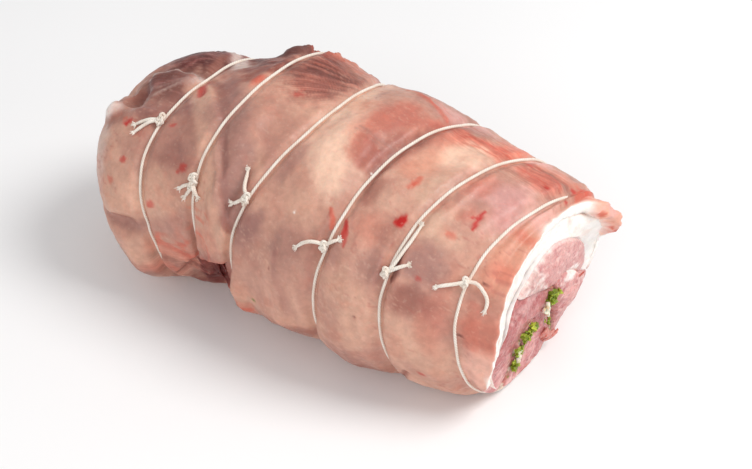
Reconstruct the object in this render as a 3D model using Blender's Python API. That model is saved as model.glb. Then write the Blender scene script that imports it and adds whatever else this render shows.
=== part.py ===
"""Boned and rolled lamb roast, stuffed with parsley and garlic and tied with six loops of twine.

Sizes are in millimetres and become metres where the meshes are made. X runs along the roast
towards its cut end, -Y is the near side and Z is up. The roast lies on Z = 0.

A place on the roast is a station, the distance along it in millimetres from the first loop of
twine, and an angle round it in degrees: 0 is the far side, 90 the top, 180 the near side and
270 the underside.
"""

import math
import random

import bmesh
import bpy
import numpy as np
from mathutils import Vector
from mathutils.bvhtree import BVHTree

MM = 0.001
SEED = 7

# Where the middle of the roast lies, measured from the first loop and the axis
CENTRE_X = 72.05
CENTRE_Y = 0.5

# Cross sections: station, lean across, lean upward, half width, half height, side shift,
# and two terms that let a section wander as the twine does
SECTIONS = [
    (-48.0, -0.10, -0.32, 58.8, 43.0, -7.0, 3.2, 1.7),
    (0.0, -0.03, -0.07, 58.7, 47.7, 1.4, -1.6, 5.7),
    (32.0, 0.04, -0.03, 61.8, 54.0, 6.6, -3.5, 2.7),
    (65.5, 0.17, -0.07, 62.6, 51.3, 2.5, -6.3, -1.7),
    (115.8, 0.39, -0.09, 61.1, 50.8, -2.8, 1.9, -4.5),
    (147.0, 0.37, -0.11, 57.5, 48.8, -5.7, 0.9, -0.9),
    (172.0, 0.23, -0.08, 51.5, 44.2, -4.8, -0.1, 2.4),
    (177.3, 0.15, -0.06, 47.7, 42.1, -5.2, 0.6, 2.0),
]
LOOPS = [0.0, 32.0, 65.5, 115.8, 147.0, 172.0]
CUT = 177.3
BACK_LENGTH = 48.0
BACK_POWER = 2.3
SINK = 3.0
UPPER_POWER = 2.1
LOWER_POWER = 2.4
FAR_LEAN_LIMIT = 30.0

# How far the meat swells between two loops, on top and on the near side
SWELLS = [(5.2, 5.7), (-0.7, 2.5), (-0.6, 3.2), (7.6, 2.4), (0.2, 4.5), (-0.3, 2.7), (2.0, 0.5)]

# Lumps and hollows: station, angle, reach along, reach round, height
LUMPS = [
    (-15.0, 70.0, 26.0, 24.0, 4.0),
    (-31.0, 113.0, 9.0, 9.0, 3.5),
    (-24.0, 101.0, 8.0, 9.0, -5.0),
    (-13.0, 178.0, 16.0, 8.0, -3.5),
    (-8.0, 205.0, 30.0, 18.0, 2.5),
    (46.0, 201.0, 17.0, 13.0, -9.0),
    (34.0, 222.0, 16.0, 14.0, -6.0),
    (71.0, 203.0, 9.0, 22.0, 4.5),
    (43.0, 122.0, 9.0, 22.0, 2.5),
    (50.0, 152.0, 8.0, 22.0, 2.5),
    (56.0, 140.0, 9.0, 26.0, -2.5),
    (22.0, 64.0, 9.0, 8.0, 3.0),
    (90.0, 112.0, 22.0, 24.0, 2.0),
    (84.0, 165.0, 14.0, 30.0, -2.0),
    (130.0, 96.0, 12.0, 16.0, -2.0),
    (99.0, 200.0, 14.0, 16.0, 2.0),
]

# Twine
TWINE_RADIUS = 0.75
TWINE_GAP = 0.35
NOTCH_TOP = 1.2
NOTCH_BOTTOM = 2.3
NOTCH_FLOOR = 1.3
NOTCH_REACH = 4.5
KNOT_RADIUS = 1.9
TAIL_RADIUS = 0.65
FRAY_LENGTH = 3.2
FRAY_RADIUS = 0.45

# Each knot: its angle and its tails, every tail a list of (station, angle, height)
KNOTS = [
    (121.0, [[(-4.0, 121.0, 1.6), (-7.5, 122.0, 1.2), (-10.5, 123.8, 1.0)],
             [(-4.0, 122.5, 1.4), (-7.0, 125.5, 1.1), (-9.0, 128.2, 1.0)]]),
    (155.0, [[(29.5, 156.0, 1.6), (27.0, 157.0, 1.3), (25.0, 158.2, 1.0)],
             [(30.5, 158.5, 1.3), (28.5, 162.0, 1.0)],
             [(34.5, 158.0, 1.5), (37.5, 159.8, 1.0)]]),
    (146.0, [[(63.5, 144.0, 1.8), (60.5, 141.8, 2.0), (58.0, 139.0, 1.6), (56.0, 136.5, 1.0)],
             [(63.5, 148.0, 1.6), (61.5, 150.5, 1.3), (59.5, 152.2, 1.0)]]),
    (150.0, [[(112.5, 149.5, 2.2), (109.0, 150.5, 2.6), (106.0, 152.8, 1.8), (104.0, 155.2, 1.0)],
             [(118.0, 147.5, 2.0), (121.0, 144.8, 1.0)]]),
    (149.0, [[(148.8, 145.0, 1.6), (149.8, 138.0, 1.2), (150.3, 131.0, 1.0), (149.8, 123.0, 1.0)],
             [(150.0, 146.5, 1.6), (152.5, 144.0, 1.3), (155.0, 141.8, 1.0)]]),
    (138.5, [[(170.2, 141.5, 1.8), (168.4, 143.8, 1.5), (166.5, 146.2, 1.0)],
             [(173.6, 137.5, 1.9), (174.9, 140.5, 1.6), (175.2, 145.0, 1.1), (175.1, 149.5, 0.9)]]),
]

# The tongue of flesh that hangs past the rim at the top of the far side
FLAP_ANGLE = 33.0
FLAP_SPREAD = 15.0
FLAP_LENGTH = 13.0
FLAP_DROOP = 3.0
RIM_ROUND = 1.0

# Layers inside, all cut through at the open end
LAYER_GAP = 0.35
SKIN_AT_RIM = 3.5
SKIN_INSIDE = 12.0
SKIN_RAMP = 15.0
BACK_WALL = -21.4
INNER_STATIONS = [-20.0, 50.0, 120.0, 158.0]
FAT_FROM = -15.0
FAT_TO = 210.0
# Where the fat ends and the lean begins, as a share of the way out: angle, share
LEAN_EDGE = [(-15.0, 0.78), (10.0, 0.76), (50.0, 0.72), (80.0, 0.70), (97.0, 0.60), (115.0, 0.52),
             (135.0, 0.53), (157.0, 0.57), (175.0, 0.63), (190.0, 0.74), (210.0, 0.90)]

# The fold between the eye muscle and the rest, in millimetres across and up from the middle
# of the cut. It starts at an angle on the near side and ends at the fat's far edge.
FOLD_ANGLE = 142.5
FOLD_LEFT = [(-8.0, 9.0), (2.8, 5.6)]
FOLD_RIGHT = [(6.2, 5.4), (13.0, 6.5), (20.0, 4.5), (28.0, -3.5)]

# The two seams of filling, each from its top to an angle on the underside
SEAM_1 = [(6.0, -4.0), (9.5, -13.0), (12.5, -22.0)]
SEAM_1_ANGLE = 288.0
SEAM_2 = [(-8.0, -6.5), (-13.5, -9.0), (-19.0, -13.0), (-21.0, -21.0)]
SEAM_2_ANGLE = 236.0
SEAM_WIDTH = 3.0
SEAM_FOOT = 0.99

# How far each piece stands out at the cut, and how its edge rounds off
EDGE_ROUND = 1.6
STAND_EYE = 1.8
STAND_NEAR = 0.8
STAND_SIDE = 2.0
STAND_FILLING = 3.4
UNDERCUT = 0.12

# Parsley leaves and garlic bits at the cut: across, up, size, turn
LEAVES_1 = [(6.5, -0.5, 7.5, 20), (9.5, -3.5, 8.0, 140), (8.5, -8.5, 6.5, 250), (12.3, -21.5, 4.5, 60)]
LEAVES_2 = [(-10.0, -7.5, 5.5, 30), (-15.0, -10.3, 7.0, 170), (-19.8, -15.5, 6.5, 280), (-21.2, -22.5, 5.5, 90)]
GARLIC_1 = [(6.2, -7.5, 3.4), (10.8, -16.5, 3.2)]
GARLIC_2 = [(-19.2, -17.8, 3.6)]
LEAF_THICKNESS = 0.7
LEAF_WAVE = 0.35

COLUMNS = 48


def clear_scene():
    for thing in list(bpy.data.objects):
        bpy.data.objects.remove(thing, do_unlink=True)


def natural_curve(knots, values, place):
    """A smooth curve through the values at the knots, and its value at each place."""
    knots = np.asarray(knots, float)
    values = np.asarray(values, float)
    place = np.asarray(place, float)
    count = len(knots)
    step = np.diff(knots)
    matrix = np.eye(count)
    right = np.zeros_like(values)
    for i in range(1, count - 1):
        matrix[i, i - 1] = step[i - 1]
        matrix[i, i] = 2 * (step[i - 1] + step[i])
        matrix[i, i + 1] = step[i]
        after = (values[i + 1] - values[i]) / step[i]
        before = (values[i] - values[i - 1]) / step[i - 1]
        right[i] = 6 * (after - before)
    bend = np.linalg.solve(matrix, right)
    i = np.clip(np.searchsorted(knots, place, side="right") - 1, 0, count - 2)
    h = step[i]
    left = (place - knots[i]) / h
    rest = 1 - left
    if values.ndim == 2:
        left = left[..., None]
        rest = rest[..., None]
        h = h[..., None]
    curve = (rest**3 - rest) * bend[i] + (left**3 - left) * bend[i + 1]
    return rest * values[i] + left * values[i + 1] + curve * h * h / 6


SECTION_TABLE = np.array(SECTIONS)


def section(station):
    """Lean across, lean upward, half width, half height, side shift and the two wander terms."""
    return np.moveaxis(natural_curve(SECTION_TABLE[:, 0], SECTION_TABLE[:, 1:], station), -1, 0)


def centre_point(station):
    """The middle of a cross section."""
    lean, pitch, wide, high, shift, *rest = section(station)
    return np.stack([station + 0 * shift, shift, high - SINK], -1)


def held(station):
    """The station, drawn to a loop's own station across the floor of its notch."""
    station = np.asarray(station, float)
    for loop in LOOPS:
        away = station - loop
        beyond = np.clip((np.abs(away) - NOTCH_FLOOR) / (NOTCH_REACH - NOTCH_FLOOR), 0, 1)
        station = np.where(np.abs(away) < NOTCH_REACH, loop + np.sign(away) * NOTCH_REACH * beyond, station)
    return station


def swell(station, angle):
    """How far the meat swells between the loops that hold it."""
    station = held(station)
    knots = SECTION_TABLE[:, 0]
    i = np.clip(np.searchsorted(knots, station, side="right") - 1, 0, len(knots) - 2)
    along = np.clip((station - knots[i]) / (knots[i + 1] - knots[i]), 0, 1)
    table = np.array(SWELLS)
    top = np.exp(-(((angle - 85) / 43) ** 2))
    side = np.exp(-(((angle - 205) / 43) ** 2))
    return np.sin(math.pi * along) * (table[i, 0] * top + table[i, 1] * side)


def smooth_outside(station, angle):
    """The outside without lumps or notches, resting on the floor."""
    station, angle = np.broadcast_arrays(np.asarray(station, float), np.asarray(angle, float))
    lean, pitch, wide, high, shift, wander_cos, wander_sin = section(station)
    past = np.clip((LOOPS[0] - station) / BACK_LENGTH, 0, 1)
    close = (1 - past**BACK_POWER) ** (1 / BACK_POWER)
    turn = np.radians(angle)
    across = np.cos(turn)
    up = np.sin(turn)
    power = np.where(up > 0, 2 / UPPER_POWER, 2 / LOWER_POWER)
    grow = close * (1 + swell(station, np.mod(angle, 360)) / 55)
    y = wide * grow * np.sign(across) * np.abs(across) ** power
    z = high * grow * np.sign(up) * np.abs(up) ** power
    leaning = np.where(y > FAR_LEAN_LIMIT, FAR_LEAN_LIMIT + 0.15 * (y - FAR_LEAN_LIMIT), y)
    leaning = np.where(y > 0, leaning * np.clip(1 + 1.3 * z / high, 0, 1), leaning)
    wander = wander_cos * np.cos(2 * turn) + wander_sin * np.sin(2 * turn)
    x = station + lean * leaning + pitch * z + close * wander
    return np.stack([x, shift + y, np.maximum(z + high - SINK, 0)], -1)


def move_out(point, centre, distance):
    """Move points away from the middle of their section."""
    arm = point - centre
    length = np.maximum(np.linalg.norm(arm, axis=-1, keepdims=True), 1e-6)
    return point + arm / length * np.asarray(distance)[..., None]


def lump_height(station, angle):
    """The sum of the lumps and hollows at a place."""
    station = held(station)
    total = np.zeros(np.broadcast(station, angle).shape)
    for place, middle, along, around, height in LUMPS:
        turn = np.mod(angle - middle + 180, 360) - 180
        distance = ((station - place) / along) ** 2 + (turn * 0.95 / around) ** 2
        total += height * np.clip(1 - distance, 0, 1) ** 2
    return total


def bare_outside(station, angle):
    """The outside with its lumps and hollows, before the twine bites in."""
    station, angle = np.broadcast_arrays(np.asarray(station, float), np.asarray(angle, float))
    centre = centre_point(station)
    point = move_out(smooth_outside(station, angle), centre, lump_height(station, angle))
    point[..., 2] = np.maximum(point[..., 2], 0)
    return point


def notch_depth(angle):
    """The twine bites deeper underneath, where the roast's weight lies on it."""
    low = 0.5 - 0.5 * np.sin(np.radians(angle))
    return NOTCH_TOP + (NOTCH_BOTTOM - NOTCH_TOP) * np.clip(1.6 * low - 0.3, 0, 1)


def notch(station, angle):
    """How deep the twine has bitten in at a place."""
    deep = np.zeros(np.broadcast(station, angle).shape)
    for loop in LOOPS:
        away = np.abs(station - loop)
        fade = np.clip((NOTCH_REACH - away) / (NOTCH_REACH - NOTCH_FLOOR), 0, 1)
        deep = np.maximum(deep, fade * fade * (3 - 2 * fade))
    return deep * notch_depth(angle)


def outside(station, angle):
    """The finished outside."""
    point = bare_outside(station, angle)
    station, angle = np.broadcast_arrays(np.asarray(station, float), np.asarray(angle, float))
    return move_out(point, centre_point(station), -notch(station, angle))


def skin_depth(station):
    """How thick the outer layer is: thin at the rim and thicker further in."""
    return SKIN_AT_RIM + (SKIN_INSIDE - SKIN_AT_RIM) * (1 - np.exp((station - CUT) / SKIN_RAMP))


def inside(station, angle, depth):
    """A point at a depth below the smooth outside."""
    station, angle = np.broadcast_arrays(np.asarray(station, float), np.asarray(angle, float))
    centre = centre_point(station)
    point = smooth_outside(station, angle)
    arm = point - centre
    length = np.linalg.norm(arm, axis=-1, keepdims=True)
    return centre + arm * (1 - np.asarray(depth)[..., None] / length)


def material(name, colour, roughness):
    made = bpy.data.materials.new(name)
    made.use_nodes = True
    shader = made.node_tree.nodes["Principled BSDF"]
    shader.inputs["Base Color"].default_value = (*colour, 1)
    shader.inputs["Roughness"].default_value = roughness
    shader.inputs["Metallic"].default_value = 0
    return made


def mesh_object(name, points, faces, look):
    """A mesh object from points in millimetres, shifted to the roast's own middle."""
    shift = np.array([CENTRE_X, CENTRE_Y, 0])
    places = (np.asarray(points, float) - shift) * MM
    mesh = bpy.data.meshes.new(name)
    mesh.from_pydata([tuple(p) for p in places], [], faces)
    mesh.validate()
    work = bmesh.new()
    work.from_mesh(mesh)
    bmesh.ops.recalc_face_normals(work, faces=work.faces)
    bmesh.ops.triangulate(work, faces=work.faces)
    work.to_mesh(mesh)
    work.free()
    made = bpy.data.objects.new(name, mesh)
    made.data.materials.append(look)
    bpy.context.scene.collection.objects.link(made)
    return made


def ring_faces(first, second, count):
    """Quads between two closed rings of points."""
    return [
        (first + i, first + (i + 1) % count, second + (i + 1) % count, second + i)
        for i in range(count)
    ]


def outer_stations():
    """Rows of the outside: close round each loop, wider apart between them."""
    rows = [-BACK_LENGTH * share for share in (0.98, 0.91, 0.8, 0.65, 0.47, 0.28)]
    for i, loop in enumerate(LOOPS):
        rows += [loop - NOTCH_REACH, loop - NOTCH_FLOOR, loop + NOTCH_FLOOR]
        if i == len(LOOPS) - 1:
            rows += [CUT - 1.0]
            break
        rows.append(loop + NOTCH_REACH)
        start = loop + NOTCH_REACH
        stop = LOOPS[i + 1] - NOTCH_REACH
        pieces = max(2, round((stop - start) / 12))
        rows += [start + (stop - start) * k / pieces for k in range(1, pieces)]
    return rows


def flap_reach(angle):
    """How far the rim reaches past the cut."""
    turn = np.mod(angle - FLAP_ANGLE + 180, 360) - 180
    return RIM_ROUND + FLAP_LENGTH * np.exp(-((turn / FLAP_SPREAD) ** 2))


def make_outer_layer(look):
    """The layer of flesh that wraps the roast, a cup that is open at the cut."""
    angles = np.arange(COLUMNS) * 360 / COLUMNS
    rows = [outside(station, angles) for station in outer_stations()]
    rim = outside(CUT - 0.01, angles)
    centre = centre_point(np.full(COLUMNS, CUT))
    reach = flap_reach(angles)
    for share in (0.0, 0.5, 0.92, 1.0):
        row = move_out(rim, centre, -FLAP_DROOP * (share**2) * (reach - RIM_ROUND) / FLAP_LENGTH)
        row[:, 0] += reach * share
        if share == 1.0:
            row = move_out(row, centre, np.full(COLUMNS, -RIM_ROUND))
        rows.append(row)
    for share in (0.96, 0.5, 0.0):
        row = move_out(rim, centre, -FLAP_DROOP * (share**2) * (reach - RIM_ROUND) / FLAP_LENGTH)
        row = move_out(row, centre, np.full(COLUMNS, -SKIN_AT_RIM))
        row[:, 0] += reach * share - 0.8 * (1 - share)
        rows.append(row)
    for station in [*reversed(INNER_STATIONS), BACK_WALL]:
        rows.append(inside(station, angles, skin_depth(station) + np.zeros(COLUMNS)))
    start = centre_point(-BACK_LENGTH) + np.array([0.0, 0.0, 6.0])
    start[0] = rows[0][:, 0].mean() - 0.6
    end = rows[-1].mean(axis=0)
    points = [start]
    faces = []
    for row in rows:
        points += list(row)
    points.append(end)
    for i in range(COLUMNS):
        faces.append((0, 1 + (i + 1) % COLUMNS, 1 + i))
    for k in range(len(rows) - 1):
        faces += ring_faces(1 + k * COLUMNS, 1 + (k + 1) * COLUMNS, COLUMNS)
    last = 1 + (len(rows) - 1) * COLUMNS
    for i in range(COLUMNS):
        faces.append((last + i, last + (i + 1) % COLUMNS, len(points) - 1))
    return mesh_object("outer_layer", points, faces, look)


def lean_share(angle):
    """Where the lean ends, as a share of the way out to the outer layer."""
    table = np.array(LEAN_EDGE)
    turn = np.mod(np.asarray(angle, float) + 90, 360) - 90
    beyond = (turn > FAT_TO + 0.1) | (turn < FAT_FROM - 0.1)
    return np.where(beyond, 1.0, np.interp(turn, table[:, 0], table[:, 1]))


def inner_point(station, angle, share, gap=0.0):
    """A point at a share of the way from the middle to the inner face of the outer layer."""
    station, angle = np.broadcast_arrays(np.asarray(station, float), np.asarray(angle, float))
    point = inside(station, angle, skin_depth(station) + gap)
    centre = centre_point(station)
    return centre + (point - centre) * np.asarray(share)[..., None]


def make_fat_layer(look):
    """The white fat under the outer layer, thick on top and on the near side."""
    angles = np.arange(FAT_FROM, FAT_TO + 0.1, 360 / COLUMNS)
    count = len(angles)
    stations = INNER_STATIONS + [CUT]
    points = []
    for station in stations:
        outer = inner_point(station, angles, np.ones(count), LAYER_GAP)
        inner = inner_point(station, angles, lean_share(angles))
        points += list(outer) + list(inner)[::-1]
    ring = 2 * count
    faces = []
    for k in range(len(stations) - 1):
        faces += ring_faces(k * ring, (k + 1) * ring, ring)
    for base in (0, (len(stations) - 1) * ring):
        for i in range(count - 1):
            faces.append((base + i, base + i + 1, base + ring - 2 - i, base + ring - 1 - i))
    return mesh_object("fat_layer", points, faces, look)


def cut_place(angle, share):
    """A place at the cut, in millimetres across and up from the middle."""
    angle = np.asarray(angle, float)
    centre = centre_point(np.full(angle.shape, CUT))
    return (inner_point(CUT, angle, share) - centre)[..., 1:]


def edge_run(first, last):
    """The lean's outline at the cut from one angle to another."""
    step = 360 / COLUMNS
    middle = np.arange(math.floor(first / step + 0.01) + 1, math.ceil(last / step - 0.01)) * step
    angles = np.concatenate([[first], middle, [last]])
    return list(cut_place(angles, lean_share(angles)))


def smooth_line(points, spacing=4.5):
    """A smooth line through the points."""
    points = np.asarray(points, float)
    run = np.concatenate([[0], np.cumsum(np.linalg.norm(np.diff(points, axis=0), axis=1))])
    return natural_curve(run, points, np.linspace(0, run[-1], max(2, round(run[-1] / spacing) + 1)))


def beside(line, distance):
    """A line beside another, on its left when the distance is above zero."""
    along = np.gradient(line, axis=0)
    along /= np.linalg.norm(along, axis=1, keepdims=True)
    return line + np.stack([-along[:, 1], along[:, 0]], 1) * distance


def inset(outline, distance):
    """The outline drawn in by a distance."""
    outline = np.asarray(outline, float)
    following = np.roll(outline, -1, axis=0)
    area = (outline[:, 0] * following[:, 1] - outline[:, 1] * following[:, 0]).sum()
    edge = following - outline
    edge /= np.linalg.norm(edge, axis=1, keepdims=True)
    normal = np.stack([-edge[:, 1], edge[:, 0]], 1) * np.sign(area)
    both = normal + np.roll(normal, 1, axis=0)
    scale = 2 / np.maximum((both**2).sum(1), 0.8)
    return outline + both * scale[:, None] * distance


def spaced(outline, least=1.6):
    """The outline without points that crowd the one before them."""
    kept = [np.asarray(outline[0], float)]
    for point in outline[1:]:
        if np.linalg.norm(np.asarray(point) - kept[-1]) > least:
            kept.append(np.asarray(point, float))
    if np.linalg.norm(kept[-1] - kept[0]) < least:
        kept.pop()
    return np.array(kept)


def body_place(outline):
    """The angle and share of places at the cut."""
    fine = np.arange(0, 360, 0.25)
    reach = cut_place(fine, np.ones(len(fine)))
    direction = np.unwrap(np.arctan2(reach[:, 1], reach[:, 0]))
    wanted = np.arctan2(outline[:, 1], outline[:, 0])
    wanted = direction[0] + np.mod(wanted - direction[0], 2 * math.pi)
    direction = np.append(direction, direction[0] + 2 * math.pi)
    angle = np.interp(wanted, direction, np.append(fine, 360.0))
    share = np.hypot(outline[:, 0], outline[:, 1]) / np.linalg.norm(cut_place(angle, np.ones(len(angle))), axis=1)
    return angle, share


def seam_sides(seam, angle, half):
    """The two sides of a seam that runs down to the underside."""
    ring = np.linalg.norm(cut_place(angle, 1.0))
    spread = math.degrees(half / ring)
    middle = smooth_line(list(seam) + [tuple(cut_place(angle, SEAM_FOOT))])
    near = beside(middle, -half)
    far = beside(middle, half)
    near[-1] = cut_place(angle - spread, SEAM_FOOT)
    far[-1] = cut_place(angle + spread, SEAM_FOOT)
    return near, far, spread


def make_piece(name, outline, look, stand, round_edge=EDGE_ROUND):
    """A piece of lean or filling: its outline at the cut, carried back through the roast."""
    outline = spaced(outline)
    end = CUT + UNDERCUT * np.minimum(outline[:, 1], 0)
    angle, share = body_place(inset(outline, LAYER_GAP))
    rows = [inner_point(station, angle, share) for station in INNER_STATIONS + [end]]
    for part, rise in ((0.4, 0.75), (1.0, 1.0)):
        angle, share = body_place(inset(outline, LAYER_GAP + round_edge * part))
        row = inner_point(end, angle, share)
        row[:, 0] += stand * rise
        rows.append(row)
    count = len(outline)
    points = [p for row in rows for p in row]
    faces = [tuple(range(count)), tuple((len(rows) - 1) * count + i for i in range(count))]
    for k in range(len(rows) - 1):
        faces += ring_faces(k * count, (k + 1) * count, count)
    return mesh_object(name, points, faces, look)


def make_leaf(across, up, size, turn, look):
    """A parsley leaf of three wavy lobes, lying on the cut end of a seam."""
    points = []
    ring = 9
    for side in (-0.5, 0.5):
        points.append((side * LEAF_THICKNESS, 0.0, 0.0))
        for i in range(ring):
            around = 2 * math.pi * i / ring
            reach = size * (0.72 + 0.28 * math.cos(3 * around)) / 2 * 1.35
            wave = LEAF_WAVE * math.sin(2 * around + turn)
            place = around + math.radians(turn)
            points.append((side * LEAF_THICKNESS + wave, reach * math.cos(place), reach * math.sin(place)))
    faces = []
    for i in range(ring):
        after = (i + 1) % ring
        faces.append((0, 1 + after, 1 + i))
        faces.append((ring + 1, ring + 2 + i, ring + 2 + after))
        faces.append((1 + i, 1 + after, ring + 2 + after, ring + 2 + i))
    home = cut_home(across, up)
    return mesh_object("leaf", [np.array(p) + home for p in points], faces, look)


def cut_home(across, up):
    """The point where a filling's end face stands, at a place across and up."""
    angle, share = body_place(np.array([[across, up]]))
    home = inner_point(CUT + UNDERCUT * min(up, 0), angle, share)[0]
    home[0] += STAND_FILLING
    return home


def make_bit(across, up, size, look):
    """A rounded bit of chopped garlic."""
    work = bmesh.new()
    bmesh.ops.create_icosphere(work, subdivisions=1, radius=size / 2)
    home = cut_home(across, up)
    points = [np.array((v.co.x * 1.1, v.co.y * 0.9, v.co.z * 1.5)) + home for v in work.verts]
    faces = [tuple(v.index for v in face.verts) for face in work.faces]
    work.free()
    return mesh_object("garlic", points, faces, look)


def join_all(base, others):
    """Fuse the others into the base, then remove them."""
    group = bpy.data.collections.new(base.name + "_parts")
    bpy.context.scene.collection.children.link(group)
    for other in others:
        group.objects.link(other)
    fuse = base.modifiers.new("fuse", "BOOLEAN")
    fuse.operation = "UNION"
    fuse.operand_type = "COLLECTION"
    fuse.collection = group
    fuse.solver = "MANIFOLD"
    graph = bpy.context.evaluated_depsgraph_get()
    joined = bpy.data.meshes.new_from_object(base.evaluated_get(graph))
    base.modifiers.remove(fuse)
    base.data = joined
    for other in others:
        bpy.data.objects.remove(other, do_unlink=True)
    bpy.data.collections.remove(group)
    return base


def make_inside(lean_look, eye_look, herb_look):
    """The eye muscle, the lean on its two sides and the two seams of filling."""
    fold_start = cut_place(FOLD_ANGLE, lean_share(FOLD_ANGLE))
    fold_end = cut_place(FAT_FROM, lean_share(FAT_FROM))
    left = smooth_line([tuple(fold_start)] + FOLD_LEFT)
    right = smooth_line(FOLD_RIGHT + [tuple(fold_end)])
    half = SEAM_WIDTH / 2
    top_1 = [tuple((np.array(FOLD_LEFT[-1]) + FOLD_RIGHT[0]) / 2)]
    near_1, far_1, spread_1 = seam_sides(top_1 + SEAM_1, SEAM_1_ANGLE, half)
    near_1[0] = FOLD_LEFT[-1]
    far_1[0] = FOLD_RIGHT[0]
    near_2, far_2, spread_2 = seam_sides(SEAM_2, SEAM_2_ANGLE, half)
    tip_2 = 2 * near_2[0] - near_2[1]
    tip_2 = (near_2[0] + far_2[0]) / 2 + (tip_2 - near_2[0]) * 0.5

    eye = edge_run(FAT_FROM, FOLD_ANGLE) + list(left[1:]) + list(right[:-1])
    make_piece("eye_muscle", eye, eye_look, STAND_EYE)

    near = (
        edge_run(FOLD_ANGLE, FAT_TO)
        + [cut_place(FAT_TO + 1.0, 1.0)]
        + edge_run(FAT_TO + 1.0, SEAM_2_ANGLE - spread_2)[1:-1]
        + list(near_2[::-1])
        + [tip_2]
        + list(far_2)
        + edge_run(SEAM_2_ANGLE + spread_2, SEAM_1_ANGLE - spread_1)[1:-1]
        + list(near_1[::-1])
        + list(left[1:-1][::-1])
    )
    make_piece("near_lean", near, lean_look, STAND_NEAR)

    far = (
        edge_run(SEAM_1_ANGLE + spread_1, 360 + FAT_FROM - 1.0)
        + [fold_end]
        + list(right[:-1][::-1])
        + list(far_1[1:-1])
    )
    make_piece("far_lean", far, lean_look, STAND_SIDE)

    seam_1 = list(far_1) + list(near_1[::-1])
    filling = make_piece("herb_filling_1", seam_1, herb_look, STAND_FILLING, 0.5)
    extras = [make_leaf(*leaf, herb_look) for leaf in LEAVES_1] + [make_bit(*bit, herb_look) for bit in GARLIC_1]
    join_all(filling, extras)

    seam_2 = [tip_2] + list(far_2) + list(near_2[::-1])
    filling = make_piece("herb_filling_2", seam_2, herb_look, STAND_FILLING, 0.5)
    extras = [make_leaf(*leaf, herb_look) for leaf in LEAVES_2] + [make_bit(*bit, herb_look) for bit in GARLIC_2]
    join_all(filling, extras)


def tube_object(name, path, radii, sides, upward, look, closed=False):
    """A round tube along a path. One side of it always faces the direction given as upward."""
    path = np.asarray(path, float)
    count = len(path)
    if closed:
        along = np.roll(path, -1, axis=0) - np.roll(path, 1, axis=0)
    else:
        along = np.gradient(path, axis=0)
    along /= np.linalg.norm(along, axis=1, keepdims=True)
    upward = np.broadcast_to(np.asarray(upward, float), path.shape)
    aside = np.cross(along, upward)
    aside /= np.linalg.norm(aside, axis=1, keepdims=True)
    over = np.cross(aside, along)
    points = []
    for k in range(count):
        for i in range(sides):
            turn = 2 * math.pi * (i + 0.5) / sides
            points.append(path[k] + radii[k] * (math.cos(turn) * aside[k] + math.sin(turn) * over[k]))
    faces = []
    for k in range(count if closed else count - 1):
        faces += ring_faces(k * sides, (k + 1) % count * sides, sides)
    if not closed:
        faces.append(tuple(range(sides)))
        faces.append(tuple((count - 1) * sides + i for i in range(sides)))
    return mesh_object(name, points, faces, look)


def outward(station, angle):
    """The direction away from the middle of the section."""
    point = smooth_outside(station, angle)
    arm = point - centre_point(np.asarray(station, float))
    return arm / np.linalg.norm(arm, axis=-1, keepdims=True)


def clear_of(surface, path, distance):
    """The path's points, pushed off the roast's surface where they come too close to it."""
    shift = Vector((CENTRE_X, CENTRE_Y, 0))
    lifted = []
    for point in path:
        place = Vector(point)
        for _ in range(3):
            near, normal, _, away = surface.find_nearest((place - shift) * MM)
            side = (place - shift) * MM - near
            height = side.dot(normal) / MM
            if height >= distance:
                break
            place += normal * (distance - height)
        lifted.append(np.array(place))
    return np.array(lifted)


def make_knob(station, angle, height, sizes, turn, look, detail=2):
    """A rounded lump of a knot, its longest way turned from the roast's length."""
    centre = move_out(bare_outside(station, angle), centre_point(np.asarray(station, float)), height)
    up = outward(station, angle)
    along = np.array([1.0, 0.0, 0.0]) - up * up[0]
    along /= np.linalg.norm(along)
    around = np.cross(up, along)
    cosine = math.cos(math.radians(turn))
    sine = math.sin(math.radians(turn))
    long_way = along * cosine + around * sine
    wide_way = around * cosine - along * sine
    work = bmesh.new()
    bmesh.ops.create_icosphere(work, subdivisions=detail, radius=1.0)
    points = [
        centre + v.co.x * sizes[0] * long_way + v.co.y * sizes[1] * wide_way + v.co.z * sizes[2] * up
        for v in work.verts
    ]
    faces = [tuple(v.index for v in face.verts) for face in work.faces]
    work.free()
    return mesh_object("knot", points, faces, look)


def make_tail(loop, knot_angle, places, surface, chance, look):
    """A loose end of twine: it leaves the knot, lies on the meat and frays at its tip."""
    places = [(loop, knot_angle, KNOT_RADIUS)] + places
    station = np.array([p[0] for p in places])
    angle = np.array([p[1] for p in places])
    height = np.array([p[2] for p in places])
    corners = move_out(bare_outside(station, angle), centre_point(station), height)
    path = smooth_line(corners, 2.4)
    path = np.vstack([path[:1], clear_of(surface, path[1:], TAIL_RADIUS + TWINE_GAP)])
    up = outward(station[-1], angle[-1])
    pieces = [tube_object("tail", path, np.full(len(path), TAIL_RADIUS), 4, up, look)]
    heading = path[-1] - path[-2]
    heading /= np.linalg.norm(heading)
    sideways = np.cross(up, heading)
    for spread in (-0.65, 0.05, 0.7):
        direction = heading + sideways * (spread + chance.uniform(-0.12, 0.12)) + up * 0.12
        direction /= np.linalg.norm(direction)
        length = FRAY_LENGTH * chance.uniform(0.75, 1.15)
        ray = [path[-1] - heading * 0.5, path[-1] + direction * length]
        ray = clear_of(surface, ray, FRAY_RADIUS + TWINE_GAP)
        pieces.append(tube_object("fray", ray, [FRAY_RADIUS, FRAY_RADIUS * 0.5], 3, up, look))
    return pieces


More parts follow.
